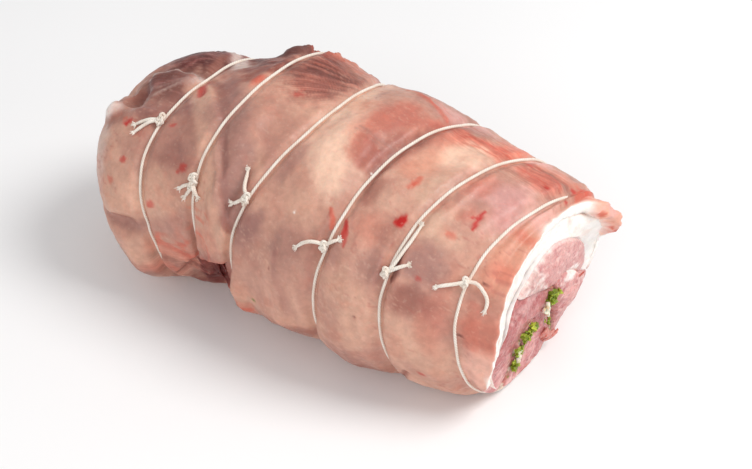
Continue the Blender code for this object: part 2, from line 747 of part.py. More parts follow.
def make_string(number, surface, chance, look):
    """One loop of twine in its notch, with its knot and loose ends."""
    loop = LOOPS[number]
    knot_angle, tails = KNOTS[number]
    angles = np.arange(COLUMNS) * 360 / COLUMNS
    station = np.full(COLUMNS, loop)
    sunk = -notch_depth(angles) + TWINE_GAP + TWINE_RADIUS
    path = move_out(bare_outside(station, angles), centre_point(station), sunk)
    up = outward(station, angles)
    radii = np.full(COLUMNS, TWINE_RADIUS)
    string = tube_object(f"string_{number + 1}", path, radii, 5, up, look, closed=True)
    extras = [
        make_knob(loop, knot_angle, KNOT_RADIUS + 0.15, (2.5, 1.7, KNOT_RADIUS), 25, look),
        make_knob(loop, knot_angle + 1.6, KNOT_RADIUS - 0.1, (1.5, 2.3, 1.5), 15, look, 1),
    ]
    for places in tails:
        extras += make_tail(loop, knot_angle, places, surface, chance, look)
    return join_all(string, extras)


def main():
    clear_scene()
    flesh = material("outer flesh", (0.66, 0.36, 0.28), 0.35)
    fat = material("white fat", (0.9, 0.82, 0.74), 0.4)
    lean = material("lean meat", (0.55, 0.22, 0.19), 0.35)
    pale_lean = material("pale lean meat", (0.72, 0.36, 0.32), 0.35)
    herbs = material("chopped herbs", (0.16, 0.25, 0.03), 0.6)
    twine = material("cotton twine", (0.85, 0.8, 0.7), 0.8)
    outer = make_outer_layer(flesh)
    make_fat_layer(fat)
    make_inside(lean, pale_lean, herbs)
    surface = BVHTree.FromPolygons(
        [v.co for v in outer.data.vertices], [tuple(face.vertices) for face in outer.data.polygons]
    )
    chance = random.Random(SEED)
    for number in range(len(LOOPS)):
        make_string(number, surface, chance, twine)


main()
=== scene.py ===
"""The dressed lamb roast: flesh, fat, lean, filling and twine, with its camera and light.

Sizes are in millimetres and become metres where the meshes are made. A place on the roast is a
station, the distance along it from the first loop of twine, and an angle round it in degrees: 0 is
the far side, 90 the top, 180 the near side and 270 the underside. A place at the cut is given in
millimetres across and up from the middle of the cut.
"""

import math
import random

import bmesh
import bpy
import numpy as np
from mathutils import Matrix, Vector
from mathutils.geometry import delaunay_2d_cdt


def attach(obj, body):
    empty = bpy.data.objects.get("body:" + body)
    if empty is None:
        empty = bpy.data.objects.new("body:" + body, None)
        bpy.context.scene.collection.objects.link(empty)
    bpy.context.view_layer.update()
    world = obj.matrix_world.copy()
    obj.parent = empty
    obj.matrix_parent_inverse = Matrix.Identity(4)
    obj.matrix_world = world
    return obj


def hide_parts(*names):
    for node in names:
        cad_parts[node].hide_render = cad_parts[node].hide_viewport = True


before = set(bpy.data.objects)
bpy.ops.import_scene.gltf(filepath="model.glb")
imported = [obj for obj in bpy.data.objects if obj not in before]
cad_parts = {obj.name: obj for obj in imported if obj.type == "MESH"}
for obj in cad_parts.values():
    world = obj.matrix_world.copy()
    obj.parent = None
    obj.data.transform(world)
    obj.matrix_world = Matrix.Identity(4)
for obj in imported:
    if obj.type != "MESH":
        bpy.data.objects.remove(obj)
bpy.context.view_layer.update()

MM = 0.001
SEED = 11

# Millimetres taken for one degree round the roast
ROUND_MM = 0.95

# Where the middle of the roast lies, measured from the first loop and the axis
CENTRE_X = 72.05
CENTRE_Y = 0.5

# Cross sections: station, lean across, lean upward, half width, half height, side shift,
# and two terms that let a section wander as the twine does
SECTIONS = [
    (-48, -0.10, -0.32, 58.8, 43, -7, 3.2, 1.7),
    (0, -0.03, -0.07, 58.7, 47.7, 1.4, -1.6, 5.7),
    (32, 0.04, -0.03, 61.8, 54, 6.6, -3.5, 2.7),
    (65.5, 0.17, -0.07, 62.6, 51.3, 2.5, -6.3, -1.7),
    (115.8, 0.39, -0.09, 61.1, 50.8, -2.8, 1.9, -4.5),
    (147, 0.37, -0.11, 57.5, 48.8, -5.7, 0.9, -0.9),
    (172, 0.23, -0.08, 51.5, 44.2, -4.8, -0.1, 2.4),
    (177.3, 0.15, -0.06, 47.7, 42.1, -5.2, 0.6, 2),
]
LOOPS = [0, 32, 65.5, 115.8, 147, 172]
CUT = 177.3
BACK_LENGTH = 48
BACK_POWER = 2.3
BACK_TIP = (0, 0, 6)
SINK = 3
UPPER_POWER = 2.1
LOWER_POWER = 2.4
MEAN_RADIUS = 55

# The far side leans less beyond a distance from the middle, and less low down
FAR_LEAN_LIMIT = 30
FAR_LEAN_REST = 0.15
LOW_LEAN_FADE = 1.3

# How far the meat swells between two loops, on top and on the near side
SWELLS = [(5.2, 5.7), (-0.7, 2.5), (-0.6, 3.2), (7.6, 2.4), (0.2, 4.5), (-0.3, 2.7), (2, 0.5)]

SWELL_TOP = 85
SWELL_SIDE = 205
SWELL_WIDTH = 43

# Lumps and hollows: station, angle, reach along, reach round, height
LUMPS = [
    (-15, 70, 26, 24, 4),
    (-31, 113, 9, 9, 3.5),
    (-24, 101, 8, 9, -5),
    (-13, 178, 16, 8, -3.5),
    (-8, 205, 30, 18, 2.5),
    (46, 201, 17, 13, -9),
    (34, 222, 16, 14, -6),
    (71, 203, 9, 22, 4.5),
    (43, 122, 9, 22, 2.5),
    (50, 152, 8, 22, 2.5),
    (56, 140, 9, 26, -2.5),
    (22, 64, 9, 8, 3),
    (90, 112, 22, 24, 2),
    (84, 165, 14, 30, -2),
    (130, 96, 12, 16, -2),
    (99, 200, 14, 16, 2),
]

# Rows and columns of the outside
BACK_ROWS = 62
FRONT_ROWS = 208
SHOWN_ANGLES = (25, 235)
SHOWN_COLUMNS = 246
HIDDEN_COLUMNS = 90

# Twine
TWINE_RADIUS = 0.75
NOTCH_TOP = 1.2
NOTCH_BOTTOM = 2.3
NOTCH_FLOOR = 1.3
NOTCH_REACH = 4.5
PLY_LAY = 4.2
LOOP_POINTS = 900
DEEP_LOOP = 1
TAIL_RADIUS = 0.88
TAIL_LAY = 3.6
FRAY_LENGTH = 2.9
FRAY_STRANDS = 19
KNOT_RADIUS = 0.66
KNOT_LAY = 3.2
KNOT_HEIGHT = 1.35

# Knots: angle, and the places of each loose end as station, angle and height
KNOTS = [
    (121, [[(-4, 121, 1.6), (-7.5, 122, 1.2), (-10.5, 123.8, 1)],
           [(-4, 122.5, 1.4), (-7, 125.5, 1.1), (-9, 128.2, 1)]]),
    (155, [[(29.5, 156, 1.6), (27, 157, 1.3), (25, 158.2, 1)],
           [(30.5, 158.5, 1.3), (28.5, 162, 1)],
           [(34.5, 158, 1.5), (37.5, 159.8, 1)]]),
    (146, [[(63.5, 144, 1.8), (60.5, 141.8, 2), (58, 139, 1.6), (56, 136.5, 1)],
           [(63.5, 148, 1.6), (61.5, 150.5, 1.3), (59.5, 152.2, 1)]]),
    (150, [[(112.5, 149.5, 2.2), (109, 150.5, 2.6), (106, 152.8, 1.8), (104, 155.2, 1)],
           [(118, 147.5, 2), (121, 144.8, 1)]]),
    (149, [[(148.8, 145, 1.6), (149.8, 138, 1.2), (150.3, 131, 1), (149.8, 123, 1)],
           [(150, 146.5, 1.6), (152.5, 144, 1.3), (155, 141.8, 1)]]),
    (138.5, [[(170.2, 141.5, 1.8), (168.4, 143.8, 1.5), (166.5, 146.2, 1)],
             [(174.3, 136.8, 1.9), (176.4, 139.2, 1.8), (177.6, 143.5, 1.6), (177.6, 148.5, 1.4)]]),
]

# Coils of a knot: sizes along, across and up, turn, and how far it is slid along
SMALL_KNOT = [((2.1, 1.5, 0.6), 0.5, 0), ((1.6, 1.2, 0.55), 1.9, 1.4)]
WIDE_KNOT = [((2.5, 1.8, 0.7), 0.3, -0.4), ((1.9, 1.5, 0.6), 1.7, 1.6)]
TALL_KNOT = [((2.3, 1.7, 0.7), 0.4, 1.6), ((2.2, 1.5, 0.7), 1.2, -1.4), ((1.8, 1.4, 0.7), 2.1, -3.6)]
KNOT_COILS = [WIDE_KNOT, TALL_KNOT, WIDE_KNOT, SMALL_KNOT, SMALL_KNOT, SMALL_KNOT]

# The tongue of flesh past the rim
FLAP_ANGLE = 37
FLAP_BELOW = 22
FLAP_ABOVE = 19
FLAP_LENGTH = 12.5
FLAP_THICK = 1.4
FAT_UNDER_FLAP = 0.45
FLAP_LIFT = (52, 16, 4.6)
RIM_ROUND = 1
RIM_FORWARD = [(72, 0), (90, 1.3), (105, 3.6), (120, 4.4), (135, 5), (150, 5.8), (162, 6.3),
               (172, 5.8), (180, 4.4), (190, 1.7), (198, 0)]
RIM_ROLL = 0.1

# Rows of the rim as shares of its reach: out over the edge, and back inside
RIM_OVER = (0.0, 0.14, 0.28, 0.42, 0.56, 0.70, 0.84, 0.94, 1.0)
RIM_BACK = (1.0, 0.93, 0.84, 0.7, 0.5, 0.3, 0.12)

# The near side's bare lean, between two angles, and how far it stands back and spreads
BARE_FROM = 199
BARE_TO = 346
BARE_STEP = 2
BARE_SPREAD = 0.065

# Layers inside
LAYER_GAP = 0.35
SKIN_AT_RIM = 3.5
SKIN_INSIDE = 12
SKIN_RAMP = 15
BACK_WALL = -21.4
INNER_STATIONS = [-20, 50, 120, 158]
FAT_FROM = -15
FAT_TO = 210
FAT_COLUMNS = 430
FAT_ROWS = 34
FAT_RADIUS = 38
LEAN_EDGE = [(-15, 0.78), (10, 0.76), (50, 0.72), (80, 0.70), (97, 0.60), (115, 0.52),
             (135, 0.53), (157, 0.57), (175, 0.63), (190, 0.74), (210, 0.90)]
FOLD_ANGLE = 142.5
FOLD_LEFT = [(-8, 9), (2.8, 5.6)]
FOLD_RIGHT = [(6.2, 5.4), (13, 6.5), (20, 4.5), (28, -3.5)]
SEAM_1 = [(6, -4), (9.5, -13), (12.5, -22)]
SEAM_1_ANGLE = 288
SEAM_2 = [(-8, -6.5), (-13.5, -9), (-19, -13), (-21, -21)]
SEAM_2_ANGLE = 236
SEAM_WIDTH = 3
SEAM_FOOT = 0.99
EDGE_ROUND = 1
STAND_EYE = 1.8
STAND_NEAR = 0.8
STAND_SIDE = 2
STAND_FILLING = 3.4
UNDERCUT = 0.12
COLUMNS = 48

# How far the outlines at the cut are drawn in, and the spacing of their points
LEAN_GAP = -0.12
FILLING_GAP = 0.12
FILLING_SPACING = 0.5
LEAN_SPACING = 0.8

# Leaves and garlic at the cut: across, up, size
LEAVES_1 = [(5.2, -1, 8.5), (6, -4.5, 8), (4.5, -16.5, 4)]
LEAVES_2 = [(-10, -7.5, 6), (-15, -10.3, 8), (-19.8, -15, 7), (-21.2, -24, 7)]
LEAF_LOBES = 3
LEAF_POINTS = 42
LEAF_LEVELS = (0.0, 0.25, 0.5, 0.75, 1.0)
GARLIC_1 = [(-0.6, -4.5, 3.6), (5.6, -12, 3.4)]
GARLIC_2 = [(-19.6, -18.6, 4.4)]

# Torn shreds at the edge of the lean: places across, up and out, and half width
SHREDS = [
    ([(5, -31, 1.6), (9.5, -31.8, 3.2), (13, -32, 4.4), (16.1, -31.6, 5.2)], 0.95),
    ([(3.5, -27.6, 2.2), (8.5, -29, 3.6), (12.5, -29.3, 4.6)], 1),
    ([(23.2, -6, 3), (25, -3, 4.4), (26.6, 0, 5.4)], 0.55),
    ([(0, -24.5, 1.6), (3, -22.8, 3.2), (6.5, -24, 2.4)], 1),
    ([(2, -27.8, 1.6), (5, -25.6, 3.4), (9, -26.6, 2.6)], 0.9),
]

SHRED_UPWARD = (1.0, 0.2, 0.1)

# The camera: where it looks, from which side, how far away, and its focal length
IMAGE_WIDTH = 752
FOCAL_PIXELS = 1400
PIXELS_PER_MM = 2.134
LOOK_AT = (89.6, 0, 36.1)
AZIMUTH = 30
ELEVATION = 40
SENSOR_WIDTH = 36

# The floor and the light, in metres and watts: name, place, aim, size, power, colour
FLOOR_HALF = 4
BACKGROUND_LIGHT = 0.56
LIGHTS = [
    ("key light", (0.9, 0.35, 1.25), (0.02, 0.0, 0.03), 0.8, 15.0, (1.0, 0.985, 0.965)),
    ("front light", (0.35, -1.1, 0.8), (0.0, 0.0, 0.04), 0.9, 4.2, (1, 1, 1)),
]

# Colours of the meat, as they look on a screen
PALE = (236, 196, 172)
PEACH = (210, 162, 140)
FLESH = (197, 146, 128)
TAN = (178, 128, 112)
MAUVE = (166, 119, 108)
PURPLE = (152, 107, 99)
BROWN = (158, 103, 89)
MUSCLE = (134, 76, 66)
DARK = (108, 60, 54)
DEEP = (76, 32, 28)
SALMON = (206, 130, 110)
ROSE = (226, 170, 162)
ORANGE = (216, 138, 108)
VIVID = (206, 92, 72)
BLOOD = (184, 30, 26)
SILVER = (216, 198, 190)
BEIGE = (210, 168, 146)
WHITE_FAT = (248, 243, 238)
PINK_FAT = (234, 198, 182)
DARK_LEAF = (112, 134, 14)
PALE_LEAF = (196, 206, 66)

# Patches of colour on the outside: station, angle, reach along, reach round, turn, colour, strength
PATCHES = [
    (-15, 145, 32, 42, 0, PEACH, 0.7),
    # Pale grey along the edge of the left end: painted highlight.
    (-34, 140, 12, 26, 0, SILVER, 0.5),
    (16, 132, 20, 42, 0, TAN, 0.9),
    (-14, 99, 24, 20, 0, BROWN, 0.95),
    (-17, 90, 14, 7, 8, MUSCLE, 0.6),
    (-14, 72, 26, 15, 0, (88, 28, 26), 0.97),
    (-7, 98, 10, 7, 0, (120, 74, 66), 0.65),
    (-19, 97, 9, 7, 0, (116, 62, 56), 0.6),
    (-21, 69, 12, 9, 0, (72, 18, 16), 0.5),
    (-4, 76, 12, 10, 0, DARK, 0.6),
    (-4, 98, 12, 13, 0, (130, 84, 74), 0.6),
    # Darker below the lobe: painted shade.
    (-4, 116, 12, 11, 0, (144, 100, 90), 0.6),
    (-28, 117, 11, 9, 0, (148, 106, 96), 0.5),
    # Darker at the bottom of the left end: painted shade.
    (-30, 197, 13, 12, 0, (138, 92, 82), 0.8),
    # Darker below the lobe: painted shade.
    (-10, 115, 16, 7, 0, MAUVE, 0.8),
    (-24, 119, 9, 6, 0, BROWN, 0.6),
    (-31, 113, 6.5, 6.5, 0, WHITE_FAT, 0.85),
    (-14, 166, 22, 14, 0, PEACH, 0.8),
    # Mauve along the crease of the left end: painted shade in the crease.
    (-16, 178.5, 20, 4.5, 5, MAUVE, 0.85),
    (-8, 193, 30, 10, 0, PEACH, 0.8),
    (-16, 206, 26, 9, 0, MAUVE, 0.8),
    (-24, 205, 14, 10, 0, TAN, 0.7),
    (18, 67, 18, 14, 15, DARK, 0.95),
    (14, 72, 12, 7, 30, DEEP, 0.55),
    (20, 57, 13, 8, 0, DARK, 0.9),
    (20, 76, 12, 10, 0, DARK, 0.5),
    (28, 51, 8, 4, 0, (176, 92, 76), 0.8),
    (45, 49, 18, 8, 0, SALMON, 0.75),
    (12, 83, 16, 7, 45, BROWN, 0.7),
    (24, 84, 11, 9, 0, MUSCLE, 0.85),
    (23, 94, 7, 7, 0, (134, 74, 62), 0.7),
    (19, 102, 13, 7, 40, PURPLE, 0.8),
    (28.5, 97, 4, 5.5, 0, VIVID, 0.65),
    (10, 113, 15, 6, 45, PURPLE, 0.6),
    (8, 130, 9, 13, 0, FLESH, 0.55),
    (20, 141, 12, 9, 30, MAUVE, 0.6),
    (12, 161, 20, 16, 0, PEACH, 0.85),
    (12, 191, 22, 7, 0, SALMON, 0.75),
    (8, 203, 26, 9, 0, SALMON, 0.85),
    (45, 78, 19, 24, 0, MUSCLE, 0.9),
    (38, 58, 9, 12, 0, VIVID, 0.45),
    (50, 58, 10, 9, 0, SALMON, 0.45),
    (50, 90, 11, 9, -20, SALMON, 0.4),
    (50, 110, 17, 12, 0, TAN, 0.9),
    (47, 112, 10, 7, 0, FLESH, 0.5),
    (41, 161, 15, 14, 42, PEACH, 0.85),
    (56, 167, 10, 11, 0, SALMON, 0.65),
    (48, 178, 18, 5, -8, SALMON, 0.75),
    (-26, 113, 3.5, 4.5, 0, SILVER, 0.5),
    (56, 174, 22, 9, 0, PEACH, 0.5),
    # Dark red in the hollow low on the near side and on the underside beside it: red flesh, deepened with
    # painted shade.
    (46, 198, 26, 13, -18, (104, 28, 24), 0.98),
    (30, 216, 24, 13, -20, (104, 28, 24), 0.95),
    (8, 224, 20, 12, -10, MUSCLE, 0.8),
    (66.5, 200, 3, 20, 0, SALMON, 0.7),
    (47, 214, 22, 5, -10, SALMON, 0.8),
    (90, 140, 32, 55, 0, FLESH, 0.9),
    (71.5, 72, 8, 34, 0, PALE, 0.75),
    # Pale diagonal band over the swell between the third and fourth loops: painted highlight.
    (90, 108, 34, 18, 44, PALE, 0.8),
    (98, 118, 17, 12, 20, PALE, 0.6),
    (96, 137, 20, 10, 20, PEACH, 0.7),
    (78, 87, 13, 5, 10, ORANGE, 0.3),
    (93, 96, 12, 9, 0, SALMON, 0.45),
    (103, 85, 17, 16, 0, (192, 114, 97), 0.9),
    (106, 104, 11, 9, 0, (180, 104, 88), 0.85),
    (113, 96, 7, 12, 0, (166, 102, 90), 0.6),
    (80, 64, 16, 12, 0, PEACH, 0.6),
    (110, 60, 11, 11, 0, ROSE, 0.7),
    (74, 122, 6, 10, 0, MAUVE, 0.6),
    # Darker beside the third loop on the near side: painted shade of the swell.
    (75, 156, 9.5, 15, 10, PURPLE, 0.85),
    (98, 157, 15, 14, 0, MAUVE, 0.6),
    (87, 150, 4, 14, 0, FLESH, 0.6),
    (112.5, 150, 5, 19, 0, BROWN, 0.55),
    (90, 183, 25, 9, 0, FLESH, 0.7),
    (76, 194, 15, 9, 20, PEACH, 0.75),
    (74, 206, 10, 8, 0, SALMON, 0.8),
    # Darker brown on the underside: painted shade.
    (102, 206, 22, 8, 8, BROWN, 0.75),
    (131, 140, 18, 55, 0, FLESH, 0.9),
    (122, 57, 9, 9, 0, ROSE, 0.7),
    (140, 57, 9, 18, 0, (216, 118, 98), 0.8),
    (122, 73, 13, 9, 5, (196, 98, 80), 0.8),
    (137, 68, 12, 7, 15, (212, 110, 90), 0.7),
    # Dark brown beside the fourth loop: painted shade.
    (118.5, 90, 7, 22, 0, (146, 90, 78), 0.9),
    (124, 80, 7, 12, 0, SALMON, 0.6),
    (137, 83, 11, 12, 20, PALE, 0.85),
    (127, 97, 9, 12, 0, (212, 148, 124), 0.7),
    (140.5, 104, 8, 12, 0, BEIGE, 0.85),
    # Dark brown beside the fourth loop: painted shade.
    (121.5, 120, 7, 10, 0, BROWN, 0.75),
    (131, 119, 9, 8, 0, BEIGE, 0.5),
    (131, 135, 13, 11, 0, SALMON, 0.5),
    (139, 150, 9, 11, 0, MAUVE, 0.7),
    (121, 151, 6, 11, 0, MAUVE, 0.6),
    (140, 133, 10, 10, 0, (158, 108, 94), 0.45),
    (130, 176, 18, 22, 0, PEACH, 0.8),
    (137, 216, 16, 8, 10, BROWN, 0.7),
    (160, 135, 15, 50, 0, FLESH, 0.9),
    (151, 56, 6, 9, 0, ROSE, 0.8),
    (160, 72, 15, 9, 0, (214, 116, 98), 0.75),
    (163, 59, 12, 8, 0, SALMON, 0.8),
    (163, 91, 14, 12, 0, ROSE, 0.7),
    (153.5, 92, 5.5, 11, 0, SALMON, 0.7),
    (168, 101, 7, 14, 0, ROSE, 0.7),
    (158, 109, 9, 7, 0, SALMON, 0.6),
    (153.5, 118, 6.5, 15, 8, BEIGE, 0.9),
    (161, 124, 8, 7, 0, BEIGE, 0.6),
    (158, 139, 12, 11, 0, MAUVE, 0.85),
    (158, 159, 10, 9, 0, MUSCLE, 0.6),
    (158, 181, 14, 15, 0, PEACH, 0.7),
    (167, 168, 5, 22, 0, SALMON, 0.55),
    (177, 108, 6, 24, 0, (216, 150, 126), 0.8),
    (177, 131, 6, 13, 0, (210, 142, 120), 0.8),
    (178, 127, 4, 5, 0, VIVID, 0.25),
    (176, 103, 3, 4, 0, VIVID, 0.35),
    (176, 88, 4, 12, 0, ROSE, 0.7),
    (176, 58, 5, 9, 0, VIVID, 0.7),
    (177, 148, 6, 10, 0, (184, 126, 110), 0.7),
    (177, 166, 6.5, 14, 0, (198, 122, 104), 0.8),
    (177, 192, 6.5, 20, 0, (240, 186, 166), 0.9),
    (178, 36, 12, 12, 0, ROSE, 0.8),
    (40, 20, 50, 22, 10, MUSCLE, 0.6),
    (-10, 20, 24, 24, 0, MAUVE, 0.6),
    (100, 10, 34, 22, -10, PEACH, 0.6),
    (90, -30, 40, 18, 10, MAUVE, 0.5),
    (150, 0, 26, 24, 0, ROSE, 0.5),
    (20, -40, 34, 22, 0, SALMON, 0.5),
    (70, 262, 44, 24, 0, BEIGE, 0.5),
    (130, 268, 30, 24, 0, SALMON, 0.45),
    (0, 260, 30, 24, 0, MAUVE, 0.5),
]

# Where a patch begins to fade and where it ends, as shares of its reach
PATCH_EDGE = (0.32, 1.12)

# Spots: station, angle, radius, colour, strength
SPOTS = [
    (-15.5, 121, 3.2, BLOOD, 0.85),
    (-18.5, 119.5, 2, VIVID, 0.5),
    (-10.5, 142.5, 2.2, BLOOD, 0.5),
    (-17.5, 154.5, 2.4, VIVID, 0.5),
    (22.5, 148.5, 3.2, BLOOD, 0.5),
    (6.5, 166.5, 2.4, BLOOD, 0.4),
    (7.5, 125, 1.8, BLOOD, 0.4),
    (140.5, 125, 3.1, BLOOD, 1),
    (133.5, 107, 2.4, VIVID, 0.7),
    (164, 111, 1.6, VIVID, 0.4),
    (161, 121.5, 2.4, VIVID, 0.5),
    (160, 146, 1.4, BLOOD, 0.45),
    (162.5, 198, 1.6, BLOOD, 0.5),
    (172, 201, 1.4, BLOOD, 0.5),
    (175.6, 135.5, 0.8, DEEP, 0.9),
    (172.8, 169, 1.3, DEEP, 0.7),
    (138.5, 177, 0.9, MUSCLE, 0.8),
    (94, 171.5, 1, MUSCLE, 0.6),
    (175.6, 72, 1.2, BLOOD, 0.7),
    (173.5, 56, 4, VIVID, 0.8),
    (166, 75, 1.6, BLOOD, 0.6),
    (171, 62, 2, BLOOD, 0.5),
    (152, 66, 2.5, BLOOD, 0.35),
    (93.5, 141, 0.9, WHITE_FAT, 0.9),
    (83.5, 193, 1.5, (104, 116, 38), 0.9),
    (114, 112, 0.7, WHITE_FAT, 0.8),
    (8.5, 108.5, 3, SILVER, 0.75),
    (48, 95, 2.4, BLOOD, 0.3),
]

# Thin marks: their places, half width, colour, strength
MARKS = [
    ([(1, 97), (8, 103.5), (18, 115), (27, 126), (34, 137), (44, 150), (54, 162),
      (62, 172)], 4, PEACH, 0.9),
    # A dark line beside the ridge of the pale band: painted shadow.
    ([(6, 96), (13, 101), (23, 112.5), (32.5, 123.5), (39.5, 133), (47, 142.5), (55, 153),
      (63, 165)], 1.5, MUSCLE, 0.5),
    ([(-11, 59), (-5, 65), (2, 73), (8, 81)], 2.6, SILVER, 0.9),
    ([(-6, 72), (-4, 78), (-2.5, 84)], 1.6, BROWN, 0.7),
    ([(-24, 90.6), (-18, 88.6), (-13, 87.8), (-8, 88.8), (-2, 91.2)], 0.9, SILVER, 0.85),
    ([(162.8, 104), (163.6, 108.5), (165, 114.5)], 0.45, BLOOD, 0.8),
    ([(163.6, 108), (161.5, 109.5)], 0.4, BLOOD, 0.7),
    ([(28, 114), (38, 125), (46.5, 135), (54, 145), (60, 155)], 6.5, PURPLE, 0.7),
    ([(109.5, 133.5), (112.5, 137.5), (114, 142)], 0.6, VIVID, 0.7),
    ([(118.5, 136), (120.5, 139), (121.5, 143)], 0.7, BLOOD, 0.7),
    ([(119.8, 136.5), (123, 141.5), (124, 146.5)], 0.5, BLOOD, 0.5),
    ([(3.5, 97), (6, 101.5), (9.5, 106.5)], 1.4, BLOOD, 0.6),
    ([(133, 103), (134.5, 106.5), (133.5, 109.5)], 0.8, VIVID, 0.6),
    ([(93, 97.6), (104, 98.4), (114, 97.6)], 0.6, MAUVE, 0.5),
    ([(92, 99.4), (100, 99.6), (110, 100.6)], 0.4, MAUVE, 0.4),
    ([(2, 185), (14, 187), (26, 192), (33, 191), (47, 187), (61, 183)], 0.9, VIVID, 0.4),
    ([(149.5, 216), (152.5, 209), (156, 201)], 1, MUSCLE, 0.7),
    ([(84, 63), (97, 64.5), (112, 68)], 1, VIVID, 0.5),
    ([(-13, 104.5), (-8, 99), (-3.5, 93)], 0.9, SILVER, 0.4),
    ([(-15, 100), (-10, 97), (-6, 93.5)], 0.6, SILVER, 0.25),
    ([(35, 98), (42, 95.5), (50, 93.5)], 0.6, PEACH, 0.5),
    ([(175, 148), (175.8, 160), (175.4, 174)], 1.4, VIVID, 0.22),
    ([(149.5, 142), (151, 147), (150, 152)], 1.3, DEEP, 0.6),
]

# Edges where one layer of flesh lies over the next: places, how far its left and its right side
# stand proud, how soft the step is, and how far it carries. Left is seen in the way the places run,
# with the angle as the upward direction.
EDGES = [
    ([(3, 95), (10, 101), (20, 112), (29, 122), (36, 131), (42.5, 140.5),
      (51, 150.5), (60, 162.5), (66, 176)], 1.2, -1, 0.7, 8),
    ([(-24, 91), (-18, 89), (-13, 88), (-8, 89), (-2, 91.5)], 1.7, -1.4, 0.35, 8),
    ([(4, 209), (20, 199), (33, 191.5), (45, 187), (56, 184.5), (66, 182)],
     -5, 0.8, 0.8, 15),
    ([(68, 176), (68.5, 188), (70, 200), (75, 210)], -1.2, 0.7, 0.8, 9),
    ([(16.5, 66), (21, 61), (31, 55), (40, 50), (52, 47)], 1.4, -0.6, 0.7, 8),
    ([(-38, 104), (-30, 107), (-22, 111), (-10, 114), (-2, 116)], 0.7, -0.5, 0.7, 7),
]

# Grooves and low ridges: places, height, half width
GROOVES = [
    ([(-34, 172), (-22, 177.5), (-12, 179.5), (-2, 182)], -1.7, 2.4),
    ([(-34, 92), (-29, 98), (-24, 103), (-20, 108)], -3.6, 4.5),
    ([(3.5, 97), (6, 101.5), (9.5, 106.5)], -0.6, 1.2),
    ([(93, 97.6), (104, 98.4), (114, 97.6)], -0.35, 0.9),
    ([(92, 100.4), (100, 100.8), (110, 101.6)], -0.25, 0.8),
    ([(84, 63), (97, 64.5), (112, 68)], 0.5, 1.2),
    ([(118, 67), (128, 68.5), (140, 69.5), (146, 74)], 0.35, 1.6),
    ([(150, 66.5), (160, 68), (171, 70)], 0.35, 1.6),
    ([(149.5, 216), (152.5, 209), (156, 201)], -0.9, 1.2),
    ([(2, 185), (14, 187), (26, 191)], -0.8, 1.2),
    ([(-6, 190), (8, 194), (20, 197)], -0.6, 1),
    ([(150.5, 84), (153, 98), (154, 112), (152.5, 124)], 0.5, 1.6),
    ([(109.5, 133.5), (112.5, 137.5), (114, 142)], 0.4, 0.8),
    ([(118.5, 136), (120.5, 139), (121.5, 143)], -0.4, 0.8),
    ([(-13, 104.5), (-8, 99), (-3.5, 93)], 0.4, 1),
]

# Muscle that shows its fibres: station, angle, reach along, reach round, strength
FIBROUS = [
    (46, 76, 22, 26, 1),
    (-16, 80, 26, 22, 0.8),
    (18, 74, 18, 16, 0.8),
    (130, 68, 22, 13, 0.7),
    (160, 72, 20, 15, 0.7),
    (30, 205, 50, 20, 0.8),
    (40, 15, 60, 30, 0.7),
    (20, -40, 40, 26, 0.6),
]

# Fine streaks that follow the grain: station, angle, reach along, reach round, colour, strength
STREAKED = [
    (20, 192, 26, 13, VIVID, 0.7),
    (46, 177, 22, 11, VIVID, 0.5),
    (-14, 84, 26, 18, ROSE, 0.35),
    (46, 80, 22, 28, SALMON, 0.45),
    (30, 54, 22, 9, VIVID, 0.6),
    (131, 66, 20, 11, VIVID, 0.5),
    (160, 68, 17, 12, VIVID, 0.5),
    (175, 50, 9, 16, VIVID, 0.5),
    (75, 204, 11, 9, VIVID, 0.6),
    (98, 62, 18, 9, VIVID, 0.35),
]

# The muscle whose fibres fan out: the place they run to, and the oval it lies in
FAN_CENTRE = (82, 62)
FAN_AREA = (47, 77, 25, 30, 0)

# Ragged, torn flesh: station, angle, reach along, reach round, height
RAGGED = [
    (30, 54, 22, 8, 1.8),
    (-14, 88.5, 13, 3, 0.9),
    (44, 192, 26, 8, 1.3),
    (30, 205, 30, 14, 1.2),
    (72, 207, 8, 9, 0.6),
    (176, 33, 14, 14, 0.7),
    (60, 45, 20, 7, 0.9),
    (-6, 64, 10, 8, 0.8),
]

# Spots in the meat at the cut: colour, size, seed, octaves, where the noise begins to show, where it
# shows in full, strength
EYE_BROAD = [((224, 172, 166), 12, 105, 3, -0.1, 0.7, 0.7), ((196, 124, 124), 6, 107, 3, 0.1, 0.8, 0.8)]
EYE_FINE = [((242, 212, 206), 1.5, 109, 2, 0.30, 0.75, 0.55), ((186, 110, 110), 2.1, 129, 3, 0.35, 0.8, 0.5)]
LEAN_SPOTS = [
    ((180, 98, 98), 10, 115, 3, 0.0, 0.7, 0.85),
    ((224, 166, 160), 7, 117, 3, 0.1, 0.7, 0.75),
    ((240, 206, 198), 1.8, 119, 3, 0.25, 0.75, 0.65),
    ((166, 84, 84), 2.3, 127, 3, 0.35, 0.8, 0.6),
]
FILLING_SPOTS = [
    ((214, 156, 146), 3, 135, 3, 0.0, 0.5, 0.8),
    ((232, 216, 196), 1.8, 137, 2, 0.25, 0.55, 0.9),
    ((112, 128, 26), 2.2, 139, 3, 0.15, 0.4, 0.9),
]
FAT_SPOTS = [((252, 247, 242), 8, 145, 3, -0.1, 0.6, 1), ((234, 206, 194), 6, 147, 4, 0.35, 0.9, 0.5)]
SHRED_SPOTS = [((184, 72, 56), 3, 159, 3, 0.0, 0.5, 0.7)]
GARLIC_SPOTS = [((226, 206, 168), 2, 153, 3, 0.1, 0.7, 1)]
TONGUE_SPOTS = [(ROSE, 6, 95, 3, -0.1, 0.5, 0.8), (VIVID, 4, 89, 3, 0.2, 0.7, 0.8)]

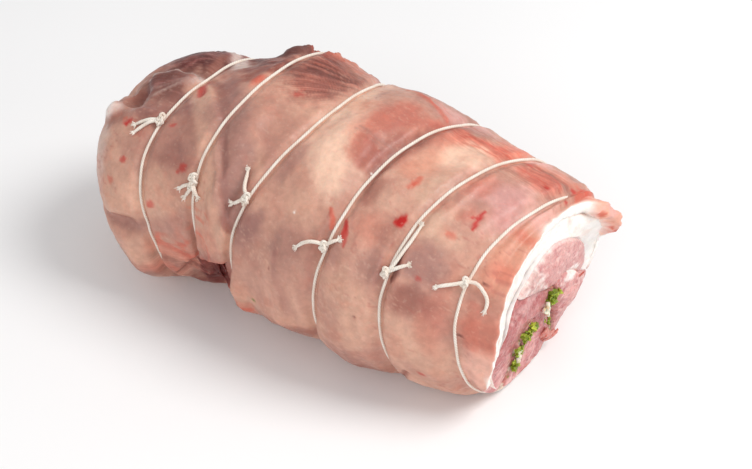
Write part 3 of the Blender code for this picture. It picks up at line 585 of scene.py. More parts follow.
# The grey seam in the fat at the cut, grey partly of its own and partly as painted shade of the fold between
# two layers of fat: angle, share of the way across the fat
GREY_SEAM = [(100, 0.42), (118, 0.40), (133, 0.42), (150, 0.42), (166, 0.42), (180, 0.45), (196, 0.5)]


def lattice(x, y, z, seed):
    """A steady number from -1 to 1 for each corner of a lattice."""
    mixed = (x * 374761393 + y * 668265263 + z * 1442695041 + seed * 1274126177) & 0xFFFFFFFF
    mixed = ((mixed ^ (mixed >> 13)) * 1103515245) & 0xFFFFFFFF
    mixed = mixed ^ (mixed >> 16)
    return (mixed & 0xFFFF) / 32767.5 - 1


def plain_noise(places, seed):
    """Smooth noise with spots one unit wide."""
    corner = np.floor(places).astype(np.int64)
    part = places - corner
    ease = part**3 * (part * (part * 6 - 15) + 10)
    total = np.zeros(places.shape[:-1])
    for i in (0, 1):
        for j in (0, 1):
            for k in (0, 1):
                weight = (
                    np.where(i, ease[..., 0], 1 - ease[..., 0])
                    * np.where(j, ease[..., 1], 1 - ease[..., 1])
                    * np.where(k, ease[..., 2], 1 - ease[..., 2])
                )
                total += weight * lattice(corner[..., 0] + i, corner[..., 1] + j, corner[..., 2] + k, seed)
    return total


def noise(places, size, seed=0, octaves=3):
    """Layered noise from about -1 to 1. The size is that of its largest spots in millimetres.

    Places have two or three numbers each.
    """
    places = np.asarray(places, float)
    if places.shape[-1] == 2:
        places = np.concatenate([places, 0 * places[..., :1]], -1)
    places = places / size
    total = 0.0
    weight = 1.0
    whole = 0.0
    for k in range(octaves):
        total = total + weight * plain_noise(places, seed + 13 * k)
        whole += weight
        weight *= 0.5
        places = places * 2.03 + 5.7
    return total / whole * 1.5


def wrapped(angle, least):
    """The angle as a number from the least to 360 more."""
    return np.mod(angle - least, 360) + least


def step_up(value, low, high):
    """Rises smoothly from 0 at low to 1 at high."""
    part = np.clip((value - low) / (high - low), 0, 1)
    return part * part * (3 - 2 * part)


def natural_curve(knots, values, place):
    """A smooth curve through the values at the knots, and its value at each place."""
    knots = np.asarray(knots, float)
    values = np.asarray(values, float)
    place = np.asarray(place, float)
    count = len(knots)
    step = np.diff(knots)
    matrix = np.eye(count)
    right = np.zeros_like(values)
    for i in range(1, count - 1):
        matrix[i, i - 1] = step[i - 1]
        matrix[i, i] = 2 * (step[i - 1] + step[i])
        matrix[i, i + 1] = step[i]
        after = (values[i + 1] - values[i]) / step[i]
        before = (values[i] - values[i - 1]) / step[i - 1]
        right[i] = 6 * (after - before)
    bend = np.linalg.solve(matrix, right)
    i = np.clip(np.searchsorted(knots, place, side="right") - 1, 0, count - 2)
    h = step[i]
    left = (place - knots[i]) / h
    rest = 1 - left
    if values.ndim == 2:
        left = left[..., None]
        rest = rest[..., None]
        h = h[..., None]
    curve = (rest**3 - rest) * bend[i] + (left**3 - left) * bend[i + 1]
    return rest * values[i] + left * values[i + 1] + curve * h * h / 6


SECTION_TABLE = np.array(SECTIONS)


def section(station):
    """Lean across, lean upward, half width, half height, side shift and the two wander terms."""
    return np.moveaxis(natural_curve(SECTION_TABLE[:, 0], SECTION_TABLE[:, 1:], station), -1, 0)


def paired(station, angle):
    """Stations and angles as arrays of one shape."""
    return np.broadcast_arrays(np.asarray(station, float), np.asarray(angle, float))


def centre_point(station):
    """The middle of a cross section."""
    high, shift = section(station)[3:5]
    return np.stack([station + 0 * shift, shift, high - SINK], -1)


def held(station):
    """The station, drawn to a loop's own station across the floor of its notch."""
    station = np.asarray(station, float)
    for loop in LOOPS:
        away = station - loop
        beyond = np.clip((np.abs(away) - NOTCH_FLOOR) / (NOTCH_REACH - NOTCH_FLOOR), 0, 1)
        station = np.where(np.abs(away) < NOTCH_REACH, loop + np.sign(away) * NOTCH_REACH * beyond, station)
    return station


def swell(station, angle):
    """How far the meat swells between the loops that hold it."""
    station = held(station)
    knots = SECTION_TABLE[:, 0]
    i = np.clip(np.searchsorted(knots, station, side="right") - 1, 0, len(knots) - 2)
    along = np.clip((station - knots[i]) / (knots[i + 1] - knots[i]), 0, 1)
    table = np.array(SWELLS)
    top = np.exp(-(((angle - SWELL_TOP) / SWELL_WIDTH) ** 2))
    side = np.exp(-(((angle - SWELL_SIDE) / SWELL_WIDTH) ** 2))
    return np.sin(math.pi * along) * (table[i, 0] * top + table[i, 1] * side)


def smooth_outside(station, angle):
    """The outside without lumps or notches, resting on the floor."""
    station, angle = paired(station, angle)
    lean, pitch, wide, high, shift, wander_cos, wander_sin = section(station)
    past = np.clip((LOOPS[0] - station) / BACK_LENGTH, 0, 1)
    close = (1 - past**BACK_POWER) ** (1 / BACK_POWER)
    turn = np.radians(angle)
    across = np.cos(turn)
    up = np.sin(turn)
    power = np.where(up > 0, 2 / UPPER_POWER, 2 / LOWER_POWER)
    grow = close * (1 + swell(station, np.mod(angle, 360)) / MEAN_RADIUS)
    y = wide * grow * np.sign(across) * np.abs(across) ** power
    z = high * grow * np.sign(up) * np.abs(up) ** power
    leaning = np.where(y > FAR_LEAN_LIMIT, FAR_LEAN_LIMIT + FAR_LEAN_REST * (y - FAR_LEAN_LIMIT), y)
    leaning = np.where(y > 0, leaning * np.clip(1 + LOW_LEAN_FADE * z / high, 0, 1), leaning)
    wander = wander_cos * np.cos(2 * turn) + wander_sin * np.sin(2 * turn)
    x = station + lean * leaning + pitch * z + close * wander
    return np.stack([x, shift + y, np.maximum(z + high - SINK, 0)], -1)


def move_out(point, centre, distance):
    """Move points away from the middle of their section."""
    arm = point - centre
    length = np.maximum(np.linalg.norm(arm, axis=-1, keepdims=True), 1e-6)
    return point + arm / length * np.asarray(distance)[..., None]


def lump_height(station, angle):
    """The sum of the lumps and hollows at a place."""
    station = held(station)
    total = np.zeros(np.broadcast(station, angle).shape)
    for place, middle, along, around, height in LUMPS:
        turn = wrapped(angle - middle, -180)
        distance = ((station - place) / along) ** 2 + (turn * ROUND_MM / around) ** 2
        total += height * np.clip(1 - distance, 0, 1) ** 2
    return total


def bare_outside(station, angle):
    """The outside with its lumps and hollows, before the twine bites in."""
    station, angle = paired(station, angle)
    centre = centre_point(station)
    point = move_out(smooth_outside(station, angle), centre, lump_height(station, angle))
    point[..., 2] = np.maximum(point[..., 2], 0)
    return point


def notch_depth(angle):
    """The twine bites deeper underneath, where the roast's weight lies on it."""
    low = 0.5 - 0.5 * np.sin(np.radians(angle))
    return NOTCH_TOP + (NOTCH_BOTTOM - NOTCH_TOP) * np.clip(1.6 * low - 0.3, 0, 1)


def notch(station, angle):
    """How deep the twine has bitten in at a place."""
    deep = np.zeros(np.broadcast(station, angle).shape)
    for loop in LOOPS:
        away = np.abs(station - loop)
        fade = np.clip((NOTCH_REACH - away) / (NOTCH_REACH - NOTCH_FLOOR), 0, 1)
        deep = np.maximum(deep, fade * fade * (3 - 2 * fade))
    return deep * notch_depth(angle)


def outside(station, angle):
    """The finished outside."""
    point = bare_outside(station, angle)
    station, angle = paired(station, angle)
    return move_out(point, centre_point(station), -notch(station, angle))


def skin_depth(station):
    """How thick the outer layer is: thin at the rim and thicker further in."""
    return SKIN_AT_RIM + (SKIN_INSIDE - SKIN_AT_RIM) * (1 - np.exp((station - CUT) / SKIN_RAMP))


def inside(station, angle, depth):
    """A point at a depth below the smooth outside."""
    station, angle = paired(station, angle)
    centre = centre_point(station)
    point = smooth_outside(station, angle)
    arm = point - centre
    length = np.linalg.norm(arm, axis=-1, keepdims=True)
    return centre + arm * (1 - np.asarray(depth)[..., None] / length)


def hill(angle, middle, spread):
    """A smooth hill of height 1 round an angle."""
    turn = wrapped(angle - middle, -180)
    return np.exp(-((turn / spread) ** 2))


def flap_reach(angle):
    """How far the rim reaches past the cut."""
    turn = wrapped(angle - FLAP_ANGLE, -180)
    spread = np.where(turn > 0, FLAP_ABOVE, FLAP_BELOW)
    return RIM_ROUND + FLAP_LENGTH * np.exp(-np.abs(turn / spread) ** 3)


def flap_lift(angle):
    """How far the root of the tongue stands up from the rest of the rim."""
    middle, spread, height = FLAP_LIFT
    return height * hill(angle, middle, spread)


def rim_forward(angle):
    """How far the near side of the outer layer stands forward of the cut."""
    table = np.array(RIM_FORWARD)
    return np.interp(np.mod(angle, 360), table[:, 0], table[:, 1])


def fat_edge(angle):
    """Where the fat starts at the cut: it thins out toward the underside."""
    share = lean_share(angle)
    thin = 0.8 * step_up(wrapped(angle, -90), 176, 206)
    return share + (1 - share) * thin


def bare_share(angle):
    """Where the lean comes right to the outside at the cut, from 0 to 1."""
    turn = np.mod(angle, 360)
    return step_up(turn, BARE_FROM, BARE_FROM + 14) * (1 - step_up(turn, BARE_TO - 14, BARE_TO))


def trimmed(angle):
    """How far the outer layer ends behind the cut where the lean comes to the outside."""
    low = np.minimum(cut_place(angle, np.ones(np.shape(angle)))[..., 1], 0)
    return bare_share(angle) * (BARE_STEP - UNDERCUT * low)


def lean_share(angle):
    """Where the lean ends, as a share of the way out to the outer layer."""
    table = np.array(LEAN_EDGE)
    turn = wrapped(np.asarray(angle, float), -90)
    beyond = (turn > FAT_TO + 0.1) | (turn < FAT_FROM - 0.1)
    return np.where(beyond, 1.0, np.interp(turn, table[:, 0], table[:, 1]))


def inner_point(station, angle, share, gap=0.0):
    """A point at a share of the way from the middle to the inner face of the outer layer."""
    station, angle = paired(station, angle)
    point = inside(station, angle, skin_depth(station) + gap)
    centre = centre_point(station)
    return centre + (point - centre) * np.asarray(share)[..., None]


def cut_place(angle, share):
    """A place at the cut, in millimetres across and up from the middle."""
    angle = np.asarray(angle, float)
    centre = centre_point(np.full(angle.shape, CUT))
    return (inner_point(CUT, angle, share) - centre)[..., 1:]


def edge_run(first, last):
    """The lean's outline at the cut from one angle to another."""
    step = 360 / COLUMNS
    middle = np.arange(math.floor(first / step + 0.01) + 1, math.ceil(last / step - 0.01)) * step
    angles = np.concatenate([[first], middle, [last]])
    return list(cut_place(angles, lean_share(angles)))


def smooth_line(points, spacing=4.5):
    """A smooth line through the points."""
    points = np.asarray(points, float)
    run = np.concatenate([[0], np.cumsum(np.linalg.norm(np.diff(points, axis=0), axis=1))])
    return natural_curve(run, points, np.linspace(0, run[-1], max(2, round(run[-1] / spacing) + 1)))


def beside(line, distance):
    """A line beside another, on its left when the distance is above zero."""
    along = np.gradient(line, axis=0)
    along /= np.linalg.norm(along, axis=1, keepdims=True)
    return line + np.stack([-along[:, 1], along[:, 0]], 1) * distance


def inset(outline, distance):
    """The outline drawn in by a distance."""
    outline = np.asarray(outline, float)
    following = np.roll(outline, -1, axis=0)
    area = (outline[:, 0] * following[:, 1] - outline[:, 1] * following[:, 0]).sum()
    edge = following - outline
    edge /= np.linalg.norm(edge, axis=1, keepdims=True)
    normal = np.stack([-edge[:, 1], edge[:, 0]], 1) * np.sign(area)
    both = normal + np.roll(normal, 1, axis=0)
    scale = 2 / np.maximum((both**2).sum(1), 0.8)
    return outline + both * scale[:, None] * distance


def spaced(outline, least=1.6):
    """The outline without points that crowd the one before them."""
    kept = [np.asarray(outline[0], float)]
    for point in outline[1:]:
        if np.linalg.norm(np.asarray(point) - kept[-1]) > least:
            kept.append(np.asarray(point, float))
    if np.linalg.norm(kept[-1] - kept[0]) < least:
        kept.pop()
    return np.array(kept)


def body_place(outline):
    """The angle and share of places at the cut."""
    fine = np.arange(0, 360, 0.25)
    reach = cut_place(fine, np.ones(len(fine)))
    direction = np.unwrap(np.arctan2(reach[:, 1], reach[:, 0]))
    wanted = np.arctan2(outline[:, 1], outline[:, 0])
    wanted = direction[0] + np.mod(wanted - direction[0], 2 * math.pi)
    direction = np.append(direction, direction[0] + 2 * math.pi)
    angle = np.interp(wanted, direction, np.append(fine, 360.0))
    full = np.linalg.norm(cut_place(angle, np.ones(len(angle))), axis=1)
    return angle, np.hypot(outline[:, 0], outline[:, 1]) / full


def seam_sides(seam, angle, half):
    """The two sides of a seam that runs down to the underside."""
    ring = np.linalg.norm(cut_place(angle, 1.0))
    spread = math.degrees(half / ring)
    middle = smooth_line(list(seam) + [tuple(cut_place(angle, SEAM_FOOT))])
    near = beside(middle, -half)
    far = beside(middle, half)
    near[-1] = cut_place(angle - spread, SEAM_FOOT)
    far[-1] = cut_place(angle + spread, SEAM_FOOT)
    return near, far, spread


def outward(station, angle):
    """The direction away from the middle of the section."""
    point = smooth_outside(station, angle)
    arm = point - centre_point(np.asarray(station, float))
    return arm / np.linalg.norm(arm, axis=-1, keepdims=True)


def to_linear(colour):
    """Screen colours from 0 to 255 as light from 0 to 1."""
    part = np.clip(np.asarray(colour, float) / 255, 0, 1)
    return np.where(part < 0.04045, part / 12.92, ((part + 0.055) / 1.055) ** 2.4)


def make_object(name, points, faces, look, layers=None):
    """A smooth mesh object from points in millimetres, with layers of numbers for its material."""
    shift = np.array([CENTRE_X, CENTRE_Y, 0])
    places = (np.asarray(points, float) - shift) * MM
    mesh = bpy.data.meshes.new(name)
    mesh.from_pydata(places.tolist(), [], [tuple(int(i) for i in face) for face in faces])
    for label, values in (layers or {}).items():
        values = np.asarray(values, float)
        if values.ndim == 2:
            layer = mesh.attributes.new(label, "FLOAT_COLOR", "POINT")
            colour = np.ones((len(values), 4))
            colour[:, :3] = values
            layer.data.foreach_set("color", colour.ravel())
        else:
            layer = mesh.attributes.new(label, "FLOAT", "POINT")
            layer.data.foreach_set("value", values)
    mesh.shade_smooth()
    mesh.update()
    made = bpy.data.objects.new(name, mesh)
    made.data.materials.append(look)
    bpy.context.scene.collection.objects.link(made)
    return made


def dress(piece, nodes):
    """Let a piece ride on the roast and stand for its nodes."""
    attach(piece, "root")
    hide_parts(*nodes)


def settle_normals(piece):
    """Make every face of a closed mesh look outward."""
    work = bmesh.new()
    work.from_mesh(piece.data)
    bmesh.ops.recalc_face_normals(work, faces=work.faces)
    work.to_mesh(piece.data)
    work.free()


def make_piece(name, points, faces, look, layers, node):
    """A closed piece that rides on the roast in the place of a node."""
    piece = make_object(name, points, faces, look, layers)
    settle_normals(piece)
    dress(piece, [node])


def joined(parts):
    """The points and the faces of several meshes as those of one."""
    faces = []
    base = 0
    for points, corners in parts:
        faces += [tuple(i + base for i in face) for face in corners]
        base += len(points)
    return np.vstack([points for points, _ in parts]), faces


def ring_faces(first, second, count):
    """Quads between two closed rings of points."""
    return [
        (first + i, first + (i + 1) % count, second + (i + 1) % count, second + i)
        for i in range(count)
    ]


# Painting and relief on the outside


def line_distance(along, around, places):
    """The distance from a line of places and which side of it each point is on."""
    best = np.full(along.shape, 1e9)
    side = np.zeros(along.shape)
    run = np.zeros(along.shape)
    line = np.array([(place, angle * ROUND_MM) for place, angle in places], float)
    for k in range(len(line) - 1):
        start = line[k]
        way = line[k + 1] - start
        length = np.hypot(*way)
        part = np.clip(((along - start[0]) * way[0] + (around - start[1]) * way[1]) / length**2, 0, 1)
        off_x = along - start[0] - part * way[0]
        off_y = around - start[1] - part * way[1]
        distance = np.hypot(off_x, off_y)
        nearer = distance < best
        best = np.where(nearer, distance, best)
        turn = way[0] * (around - start[1]) - way[1] * (along - start[0])
        side = np.where(nearer, np.sign(turn), side)
        run = np.where(nearer, (k + part) / (len(line) - 1), run)
    return best, side, run


def oval(station, angle, patch):
    """How far out a place is in a turned oval patch: 0 in its middle and 1 at its edge."""
    place, middle, along, around, turn = patch
    x = station - place
    y = wrapped(angle - middle, -180) * ROUND_MM
    cosine = math.cos(math.radians(turn))
    sine = math.sin(math.radians(turn))
    return np.hypot((x * cosine + y * sine) / along, (y * cosine - x * sine) / around)


def plain(colour, count):
    """One colour for each of a number of points."""
    return np.tile(np.array(colour, float), (count, 1))


def blend_in(colour, other, weight):
    """The colours mixed with another by a weight at each point."""
    return colour + (np.asarray(other, float) - colour) * weight[:, None]


def spotted(colour, places, spots):
    """The colours with layers of spots over them."""
    for shade, size, seed, octaves, low, high, strength in spots:
        weight = step_up(noise(places, size, seed, octaves), low, high) * strength
        colour = blend_in(colour, shade, weight)
    return colour


def tinted(colour, factors, weight):
    """The colours multiplied by factors, by a weight at each point."""
    return blend_in(colour, colour * np.array(factors), weight)


def paint_patches(colour, station, angle, warp):
    """The large patches of colour."""
    for *patch, shade, strength in PATCHES:
        within = 1 - step_up(oval(station, angle, patch) + warp, *PATCH_EDGE)
        colour = blend_in(colour, shade, within * strength)
    return colour


def paint_fibres(colour, station, angle, warp):
    """Streaks that follow the muscles and their fibres."""
    streak = noise(diagonal(station, angle), 13, 23, 3)
    colour = tinted(colour, (0.87, 0.82, 0.84), step_up(streak, 0.1, 0.8) * 0.55)
    colour = tinted(colour, (1.07, 1.08, 1.08), step_up(-streak, 0.1, 0.8) * 0.7)
    along, across = grain(station, angle)
    streak = fibre_noise(along, across)
    fibrous = fibre_weight(station, angle)
    colour *= (1 + 0.19 * streak * fibrous)[:, None]
    colour = blend_in(colour, (206, 150, 132), step_up(streak, 0.35, 0.8) * fibrous * 0.45)
    fine = np.abs(noise(np.stack([along * 0.3, across * 0.9], -1), 6, 29, 3))
    thin = 1 - step_up(fine, 0.03, 0.2)
    for *area, shade, strength in STREAKED:
        within = 1 - step_up(oval(station, angle, (*area, 0)) + 1.3 * warp, 0.35, 1.1)
        colour = blend_in(colour, shade, within * thin * strength)
    return colour


def paint_spots(colour, station, angle, warp, fine):
    """Single spots of blood, fat and sinew."""
    for place, middle, radius, shade, strength in SPOTS:
        spot = oval(station, angle, (place, middle, radius, radius, 0))
        spot = spot + (0.8 * warp + 0.35 * fine) * min(1.0, radius / 2.5)
        colour = blend_in(colour, shade, (1 - step_up(spot, 0.35, 1.05)) * strength)
    return colour


def paint_marks(colour, station, around, warp):
    """Thin marks along their lines."""
    for places, half, shade, strength in MARKS:
        distance = line_distance(station, around, places)[0]
        wide = half * np.maximum(1.3 + 1.2 * warp, 0.2)
        colour = blend_in(colour, shade, (1 - step_up(distance, wide * 0.4, wide * 1.5)) * strength)
    return colour


def paint_veins(colour, point):
    """Fine wandering veins, here and there."""
    ridge = np.abs(noise(point, 17, 61, 3))
    vein = (1 - step_up(ridge, 0.0, 0.035)) * step_up(noise(point, 26, 67, 2), -0.1, 0.5)
    colour = blend_in(colour, (168, 92, 84), vein * 0.35)
    ridge = np.abs(noise(point, 8, 71, 3))
    vein = (1 - step_up(ridge, 0.0, 0.05)) * step_up(noise(point, 22, 73, 2), 0.1, 0.6)
    return blend_in(colour, (232, 196, 172), vein * 0.3)


def paint_outside(station, angle, point):
    """The colour of the outside, as it looks on a screen."""
    warp = 0.30 * noise(point, 13, 3) + 0.14 * noise(point, 3.5, 4, 2)
    colour = plain(FLESH, len(station))
    broad = noise(point, 30, 5)
    colour = blend_in(colour, PEACH, step_up(broad, 0.0, 0.7) * 0.8)
    colour = blend_in(colour, MAUVE, step_up(-broad, 0.15, 0.8) * 0.55)
    colour = paint_patches(colour, station, angle, warp)
    colour = paint_fibres(colour, station, angle, warp)
    colour = tinted(colour, (0.99, 0.88, 0.86), step_up(noise(point, 9, 21, 4), 0.18, 0.75) * 0.4)
    colour = tinted(colour, (1.05, 1.08, 1.08), step_up(noise(point, 6, 27, 4), 0.25, 0.8) * 0.35)
    colour = paint_veins(colour, point)
    colour = paint_spots(colour, station, angle, warp, noise(point, 1.8, 63, 2))
    return paint_marks(colour, station, wrapped(angle, -60) * ROUND_MM, warp)


def diagonal(station, angle):
    """Places drawn out along the slanting run of the outer muscles."""
    turn = np.radians(np.interp(station, [40, 90, 150], [49, 44, 62]))
    x = station
    y = np.mod(angle + 60, 360) * ROUND_MM - 60
    along = x * np.cos(turn) + y * np.sin(turn)
    across = y * np.cos(turn) - x * np.sin(turn)
    return np.stack([along * 0.42, across], -1)


def grain(station, angle):
    """Places along and across the fibres, which fan out in one muscle on top."""
    place, middle = FAN_CENTRE
    x = station - place
    y = (wrapped(angle, -60) - middle) * ROUND_MM
    fanned = (oval(station, angle, FAN_AREA) < 1) & (station > LOOPS[1])
    bend = np.arctan2(y, np.maximum(-x, 0.01)) * 100
    return np.where(fanned, np.hypot(x, y), station), np.where(fanned, bend, angle * ROUND_MM)


def fibre_noise(along, across):
    """The streaks of the fibres."""
    return noise(np.stack([along * 0.25, across * 1.3], -1), 5, 9, 3)


def fibre_weight(station, angle):
    """How strongly the fibres of the muscle show."""
    total = np.zeros(np.broadcast(station, angle).shape)
    for *area, strength in FIBROUS:
        far = oval(station, angle, (*area, 0))
        total = np.maximum(total, (1 - step_up(far, 0.5, 1.1)) * strength)
    return total


def edge_steps(station, around, warp):
    """The steps where one layer of flesh lies over the next."""
    height = 0.0
    for places, left, right, sharp, carry in EDGES:
        distance, side, run = line_distance(station, around, places)
        ends = step_up(run, 0.0, 0.08) * step_up(1 - run, 0.0, 0.08)
        part = 0.5 + 0.5 * np.tanh((distance * side + 1.1 * warp) / sharp)
        height += (left * part + right * (1 - part)) * np.exp(-((distance / carry) ** 2)) * ends
    return height


def relief(station, angle, point):
    """How far the flesh stands proud of its plain outside, in millimetres."""
    around = wrapped(angle, -60) * ROUND_MM
    warp = noise(point, 11, 31, 2)
    away = np.min(np.abs(station[:, None] - np.array(LOOPS)[None]), axis=1)
    height = 0.6 * noise(point, 16, 33, 3) + 0.18 * noise(point, 5.5, 35, 3)
    height += 0.35 * noise(diagonal(station, angle), 9, 23, 3)
    height += 0.06 * noise(point, 1.9, 37, 2)
    height += edge_steps(station, around, warp)
    for places, lift, half in GROOVES:
        distance = line_distance(station, around, places)[0]
        height += lift * np.exp(-((distance / (half * (1 + 0.3 * warp))) ** 2))
    for *area, lift in RAGGED:
        torn = 1 - step_up(oval(station, angle, (*area, 0)) + 0.3 * warp, 0.5, 1.1)
        height += lift * torn * (noise(point, 4.2, 43, 3) - 0.15)
    height += 0.28 * fibre_noise(*grain(station, angle)) * fibre_weight(station, angle)
    height *= step_up(away, 0.9, 5.0)
    pucker = noise(np.stack([station * 0.12, angle * ROUND_MM], -1), 3.4, 47, 2)
    height += 0.30 * pucker * np.exp(-((away / 4.5) ** 2)) * step_up(away, 0.7, 2.2)
    height += 0.35 * np.exp(-(((away - 5.0) / 2.4) ** 2))
    tip = step_up(BACK_LENGTH + station, 0.3, 9.0)
    floor = step_up(point[:, 2], 0.2, 5.0)
    return height * tip * (0.25 + 0.75 * floor)


def body_stations():
    """Rows of the outside: close at the loops and the back end, wider apart between them."""
    back = -BACK_LENGTH * np.sin(np.linspace(math.pi / 2, 0, BACK_ROWS))[1:-1]
    fine = np.linspace(0, CUT - 0.4, 4000)
    near = np.min(np.abs(fine[:, None] - np.array(LOOPS)[None]), axis=1)
    weight = 1 + 1.1 * np.exp(-((near / 3.5) ** 2))
    run = np.concatenate([[0], np.cumsum((weight[1:] + weight[:-1]) / 2)])
    front = np.interp(np.linspace(0, run[-1], FRONT_ROWS), run, fine)
    return np.concatenate([back, front])


def body_angles():
    """Columns of the outside, closer on the top and the near side."""
    first, last = SHOWN_ANGLES
    shown = np.linspace(first, last, SHOWN_COLUMNS, endpoint=False)
    hidden = np.linspace(last, first + 360, HIDDEN_COLUMNS, endpoint=False)
    return np.concatenate([shown, hidden])


def grid_normals(points):
    """Outward normals of a grid whose columns run round the roast."""
    along = np.gradient(points, axis=0)
    around = np.roll(points, -1, axis=1) - np.roll(points, 1, axis=1)
    normal = np.cross(around, along)
    normal /= np.maximum(np.linalg.norm(normal, axis=-1, keepdims=True), 1e-9)
    return normal


def rim_rows(angles):
    """The rim and its tongue, over the edge and back to the inner wall."""
    rim = outside(CUT - 0.01 - trimmed(angles), angles)
    centre = centre_point(np.full(len(angles), CUT))
    reach = flap_reach(angles)
    tongue = (reach - RIM_ROUND) / FLAP_LENGTH
    forward = rim_forward(angles) * (1 + 0.10 * noise(rim, 7, 97, 2))
    reach = RIM_ROUND + (reach - RIM_ROUND) * (1 + 0.16 * noise(rim, 6, 81, 3))
    lift = flap_lift(angles)
    rows = []
    for share in RIM_OVER:
        row = move_out(rim, centre, lift * (1 - 0.25 * share**2))
        row[:, 0] += reach * share
        edge = step_up(share, 0.72, 1.0)
        row = move_out(row, centre, -(RIM_ROUND + 0.25 * lift) * edge**2)
        row[:, 0] += forward * math.sin(math.pi / 2 * share)
        rows.append(move_out(row, centre, -RIM_ROLL * forward * (1 - math.cos(math.pi / 2 * share))))
    for share in RIM_BACK:
        thick = SKIN_AT_RIM + FLAP_THICK * tongue * math.sin(math.pi * min(1.0, share * 0.62 + 0.1))
        row = move_out(rim, centre, lift * share * 0.75)
        row = move_out(row, centre, -thick + 1.0 * step_up(share, 0.85, 1.0))
        row[:, 0] += reach * share - 0.8 * (1 - share) - 0.2 * step_up(share, 0.8, 1.0)
        row[:, 0] += forward * share
        rows.append(move_out(row, centre, -RIM_ROLL * forward * share))
    return rows


def rim_colour(angles, part):
    """The colour of the rim, from the outside at 0 to the inner edge at 1."""
    turn = wrapped(angles, -90)
    fat = step_up(turn, FAT_FROM - 12, FAT_FROM + 8) * (1 - step_up(turn, FAT_TO - 14, FAT_TO + 6))
    outer = plain(SALMON, len(angles))
    outer = blend_in(outer, PINK_FAT, step_up(turn, 56, 75) * (1 - step_up(turn, 190, 212)))
    inner = plain((196, 118, 108), len(angles))
    inner = blend_in(inner, WHITE_FAT, fat)
    return blend_in(outer, inner, np.full(len(angles), part))


def body_surface(stations, angles):
    """The outside with its relief: the station, the angle and the place of each point."""
    behind = trimmed(angles)[None, :] * step_up(stations, CUT - 22, CUT - 0.4)[:, None] * 0.999
    places = stations[:, None] - behind
    points = outside(places, angles[None, :])
    station = places.ravel()
    angle = np.tile(angles, len(stations))
    flat = points.reshape(-1, 3)
    near_rim = 1 - step_up(np.repeat(stations, len(angles)), CUT - 4, CUT - 0.4)
    height = relief(station, angle, flat) * (0.25 + 0.75 * near_rim)
    flat = flat + grid_normals(points).reshape(-1, 3) * height[:, None]
    root = flap_lift(angle) * step_up(station, CUT - 14, CUT - 0.5)
    flat = move_out(flat, centre_point(station), root)
    flat[:, 2] = np.maximum(flat[:, 2], 0.0)
    return station, angle, flat


def rough_rim(row, k, angles, tongue):
    """A row of the rim made ragged."""
    ripple = 0.35 * noise(row, 3.2, 83, 2) + 0.3 * noise(row, 8, 85, 2)
    knobby = hill(angles, 72, 30) * step_up(k, 3, 8)
    ripple = ripple * (1 + 1.2 * tongue + 1.6 * knobby)
    row = move_out(row, centre_point(np.full(len(angles), CUT)), ripple * min(1.0, 0.3 + 0.1 * k))
    row[:, 0] += (0.25 + 0.5 * tongue) * noise(row, 2.6, 87, 2)
    row[:, 2] = np.maximum(row[:, 2], 0.05)
    return row


def paint_rim(row, k, angles, tongue, edge_colour):
    """The colour of a row of the rim: that of the outside at first, then that of the fat."""
    count = len(angles)
    part = min(1.0, k / 6)
    colour = blend_in(rim_colour(angles, part), edge_colour, np.full(count, (1 - part) * 0.7))
    skin = step_up(rim_forward(angles), 0.8, 3.0) * (1.0 if k < 7 else 0.75 if k == 7 else 0.0)
    colour = blend_in(colour, edge_colour, skin)
    torn = spotted(plain((231, 168, 146), count), row, TONGUE_SPOTS)
    return blend_in(colour, torn, tongue * (0.95 - 0.95 * float(step_up(k, 11, 14.5))))


def capped_faces(rows, count):
    """Rings of quads from a first point to a last one, with a fan at each."""
    faces = [(0, 1 + (i + 1) % count, 1 + i) for i in range(count)]
    for k in range(rows - 1):
        faces += ring_faces(1 + k * count, 1 + (k + 1) * count, count)
    last = 1 + (rows - 1) * count
    return faces + [(last + i, last + (i + 1) % count, last + count) for i in range(count)]


def body_layers(station, angle, flat, colour):
    """What the material reads: colour, strength and run of the fibres, and moisture."""
    own = slice(1, 1 + len(station))
    fibres = np.zeros(len(flat))
    fibres[own] = fibre_weight(station, angle)
    flow = np.zeros((len(flat), 3))
    flow[own, :2] = np.stack(grain(station, angle), -1) * MM
    wet = np.clip(0.5 + 0.5 * noise(flat, 22, 91, 2), 0, 1)
    return {"tint": to_linear(colour), "fibres": fibres, "wet": wet, "flow": flow}


def make_body(look):
    """The outer layer of flesh, with its relief, its marks and the rim round the cut."""
    angles = body_angles()
    count = len(angles)
    station, angle, flat = body_surface(body_stations(), angles)
    rows = [flat]
    colours = [paint_outside(station, angle, flat)]
    edge_colour = paint_outside(np.full(count, CUT), angles, outside(CUT - 0.01, angles))
    tongue = step_up(flap_reach(angles), 3.0, 8.0)
    for k, row in enumerate(rim_rows(angles)):
        row = rough_rim(row, k, angles, tongue)
        rows.append(row)
        colours.append(paint_rim(row, k, angles, tongue, edge_colour))
    for place in [*reversed(INNER_STATIONS), BACK_WALL]:
        rows.append(inside(place, angles, skin_depth(place) + np.zeros(count)))
        colours.append(plain(SALMON, count))
    flat = np.vstack(rows)
    colour = np.vstack(colours)
    start = centre_point(-BACK_LENGTH) + BACK_TIP
    start[0] = flat[:count, 0].mean() - 0.05
    faces = capped_faces(len(flat) // count, count)
    flat = np.vstack([start[None], flat, rows[-1].mean(axis=0)[None]])
    colour = np.vstack([colour[:1], colour, colour[-1:]])
    piece = make_object("outer_flesh", flat, faces, look, body_layers(station, angle, flat, colour))
    dress(piece, ["outer_layer"])


# The cut end


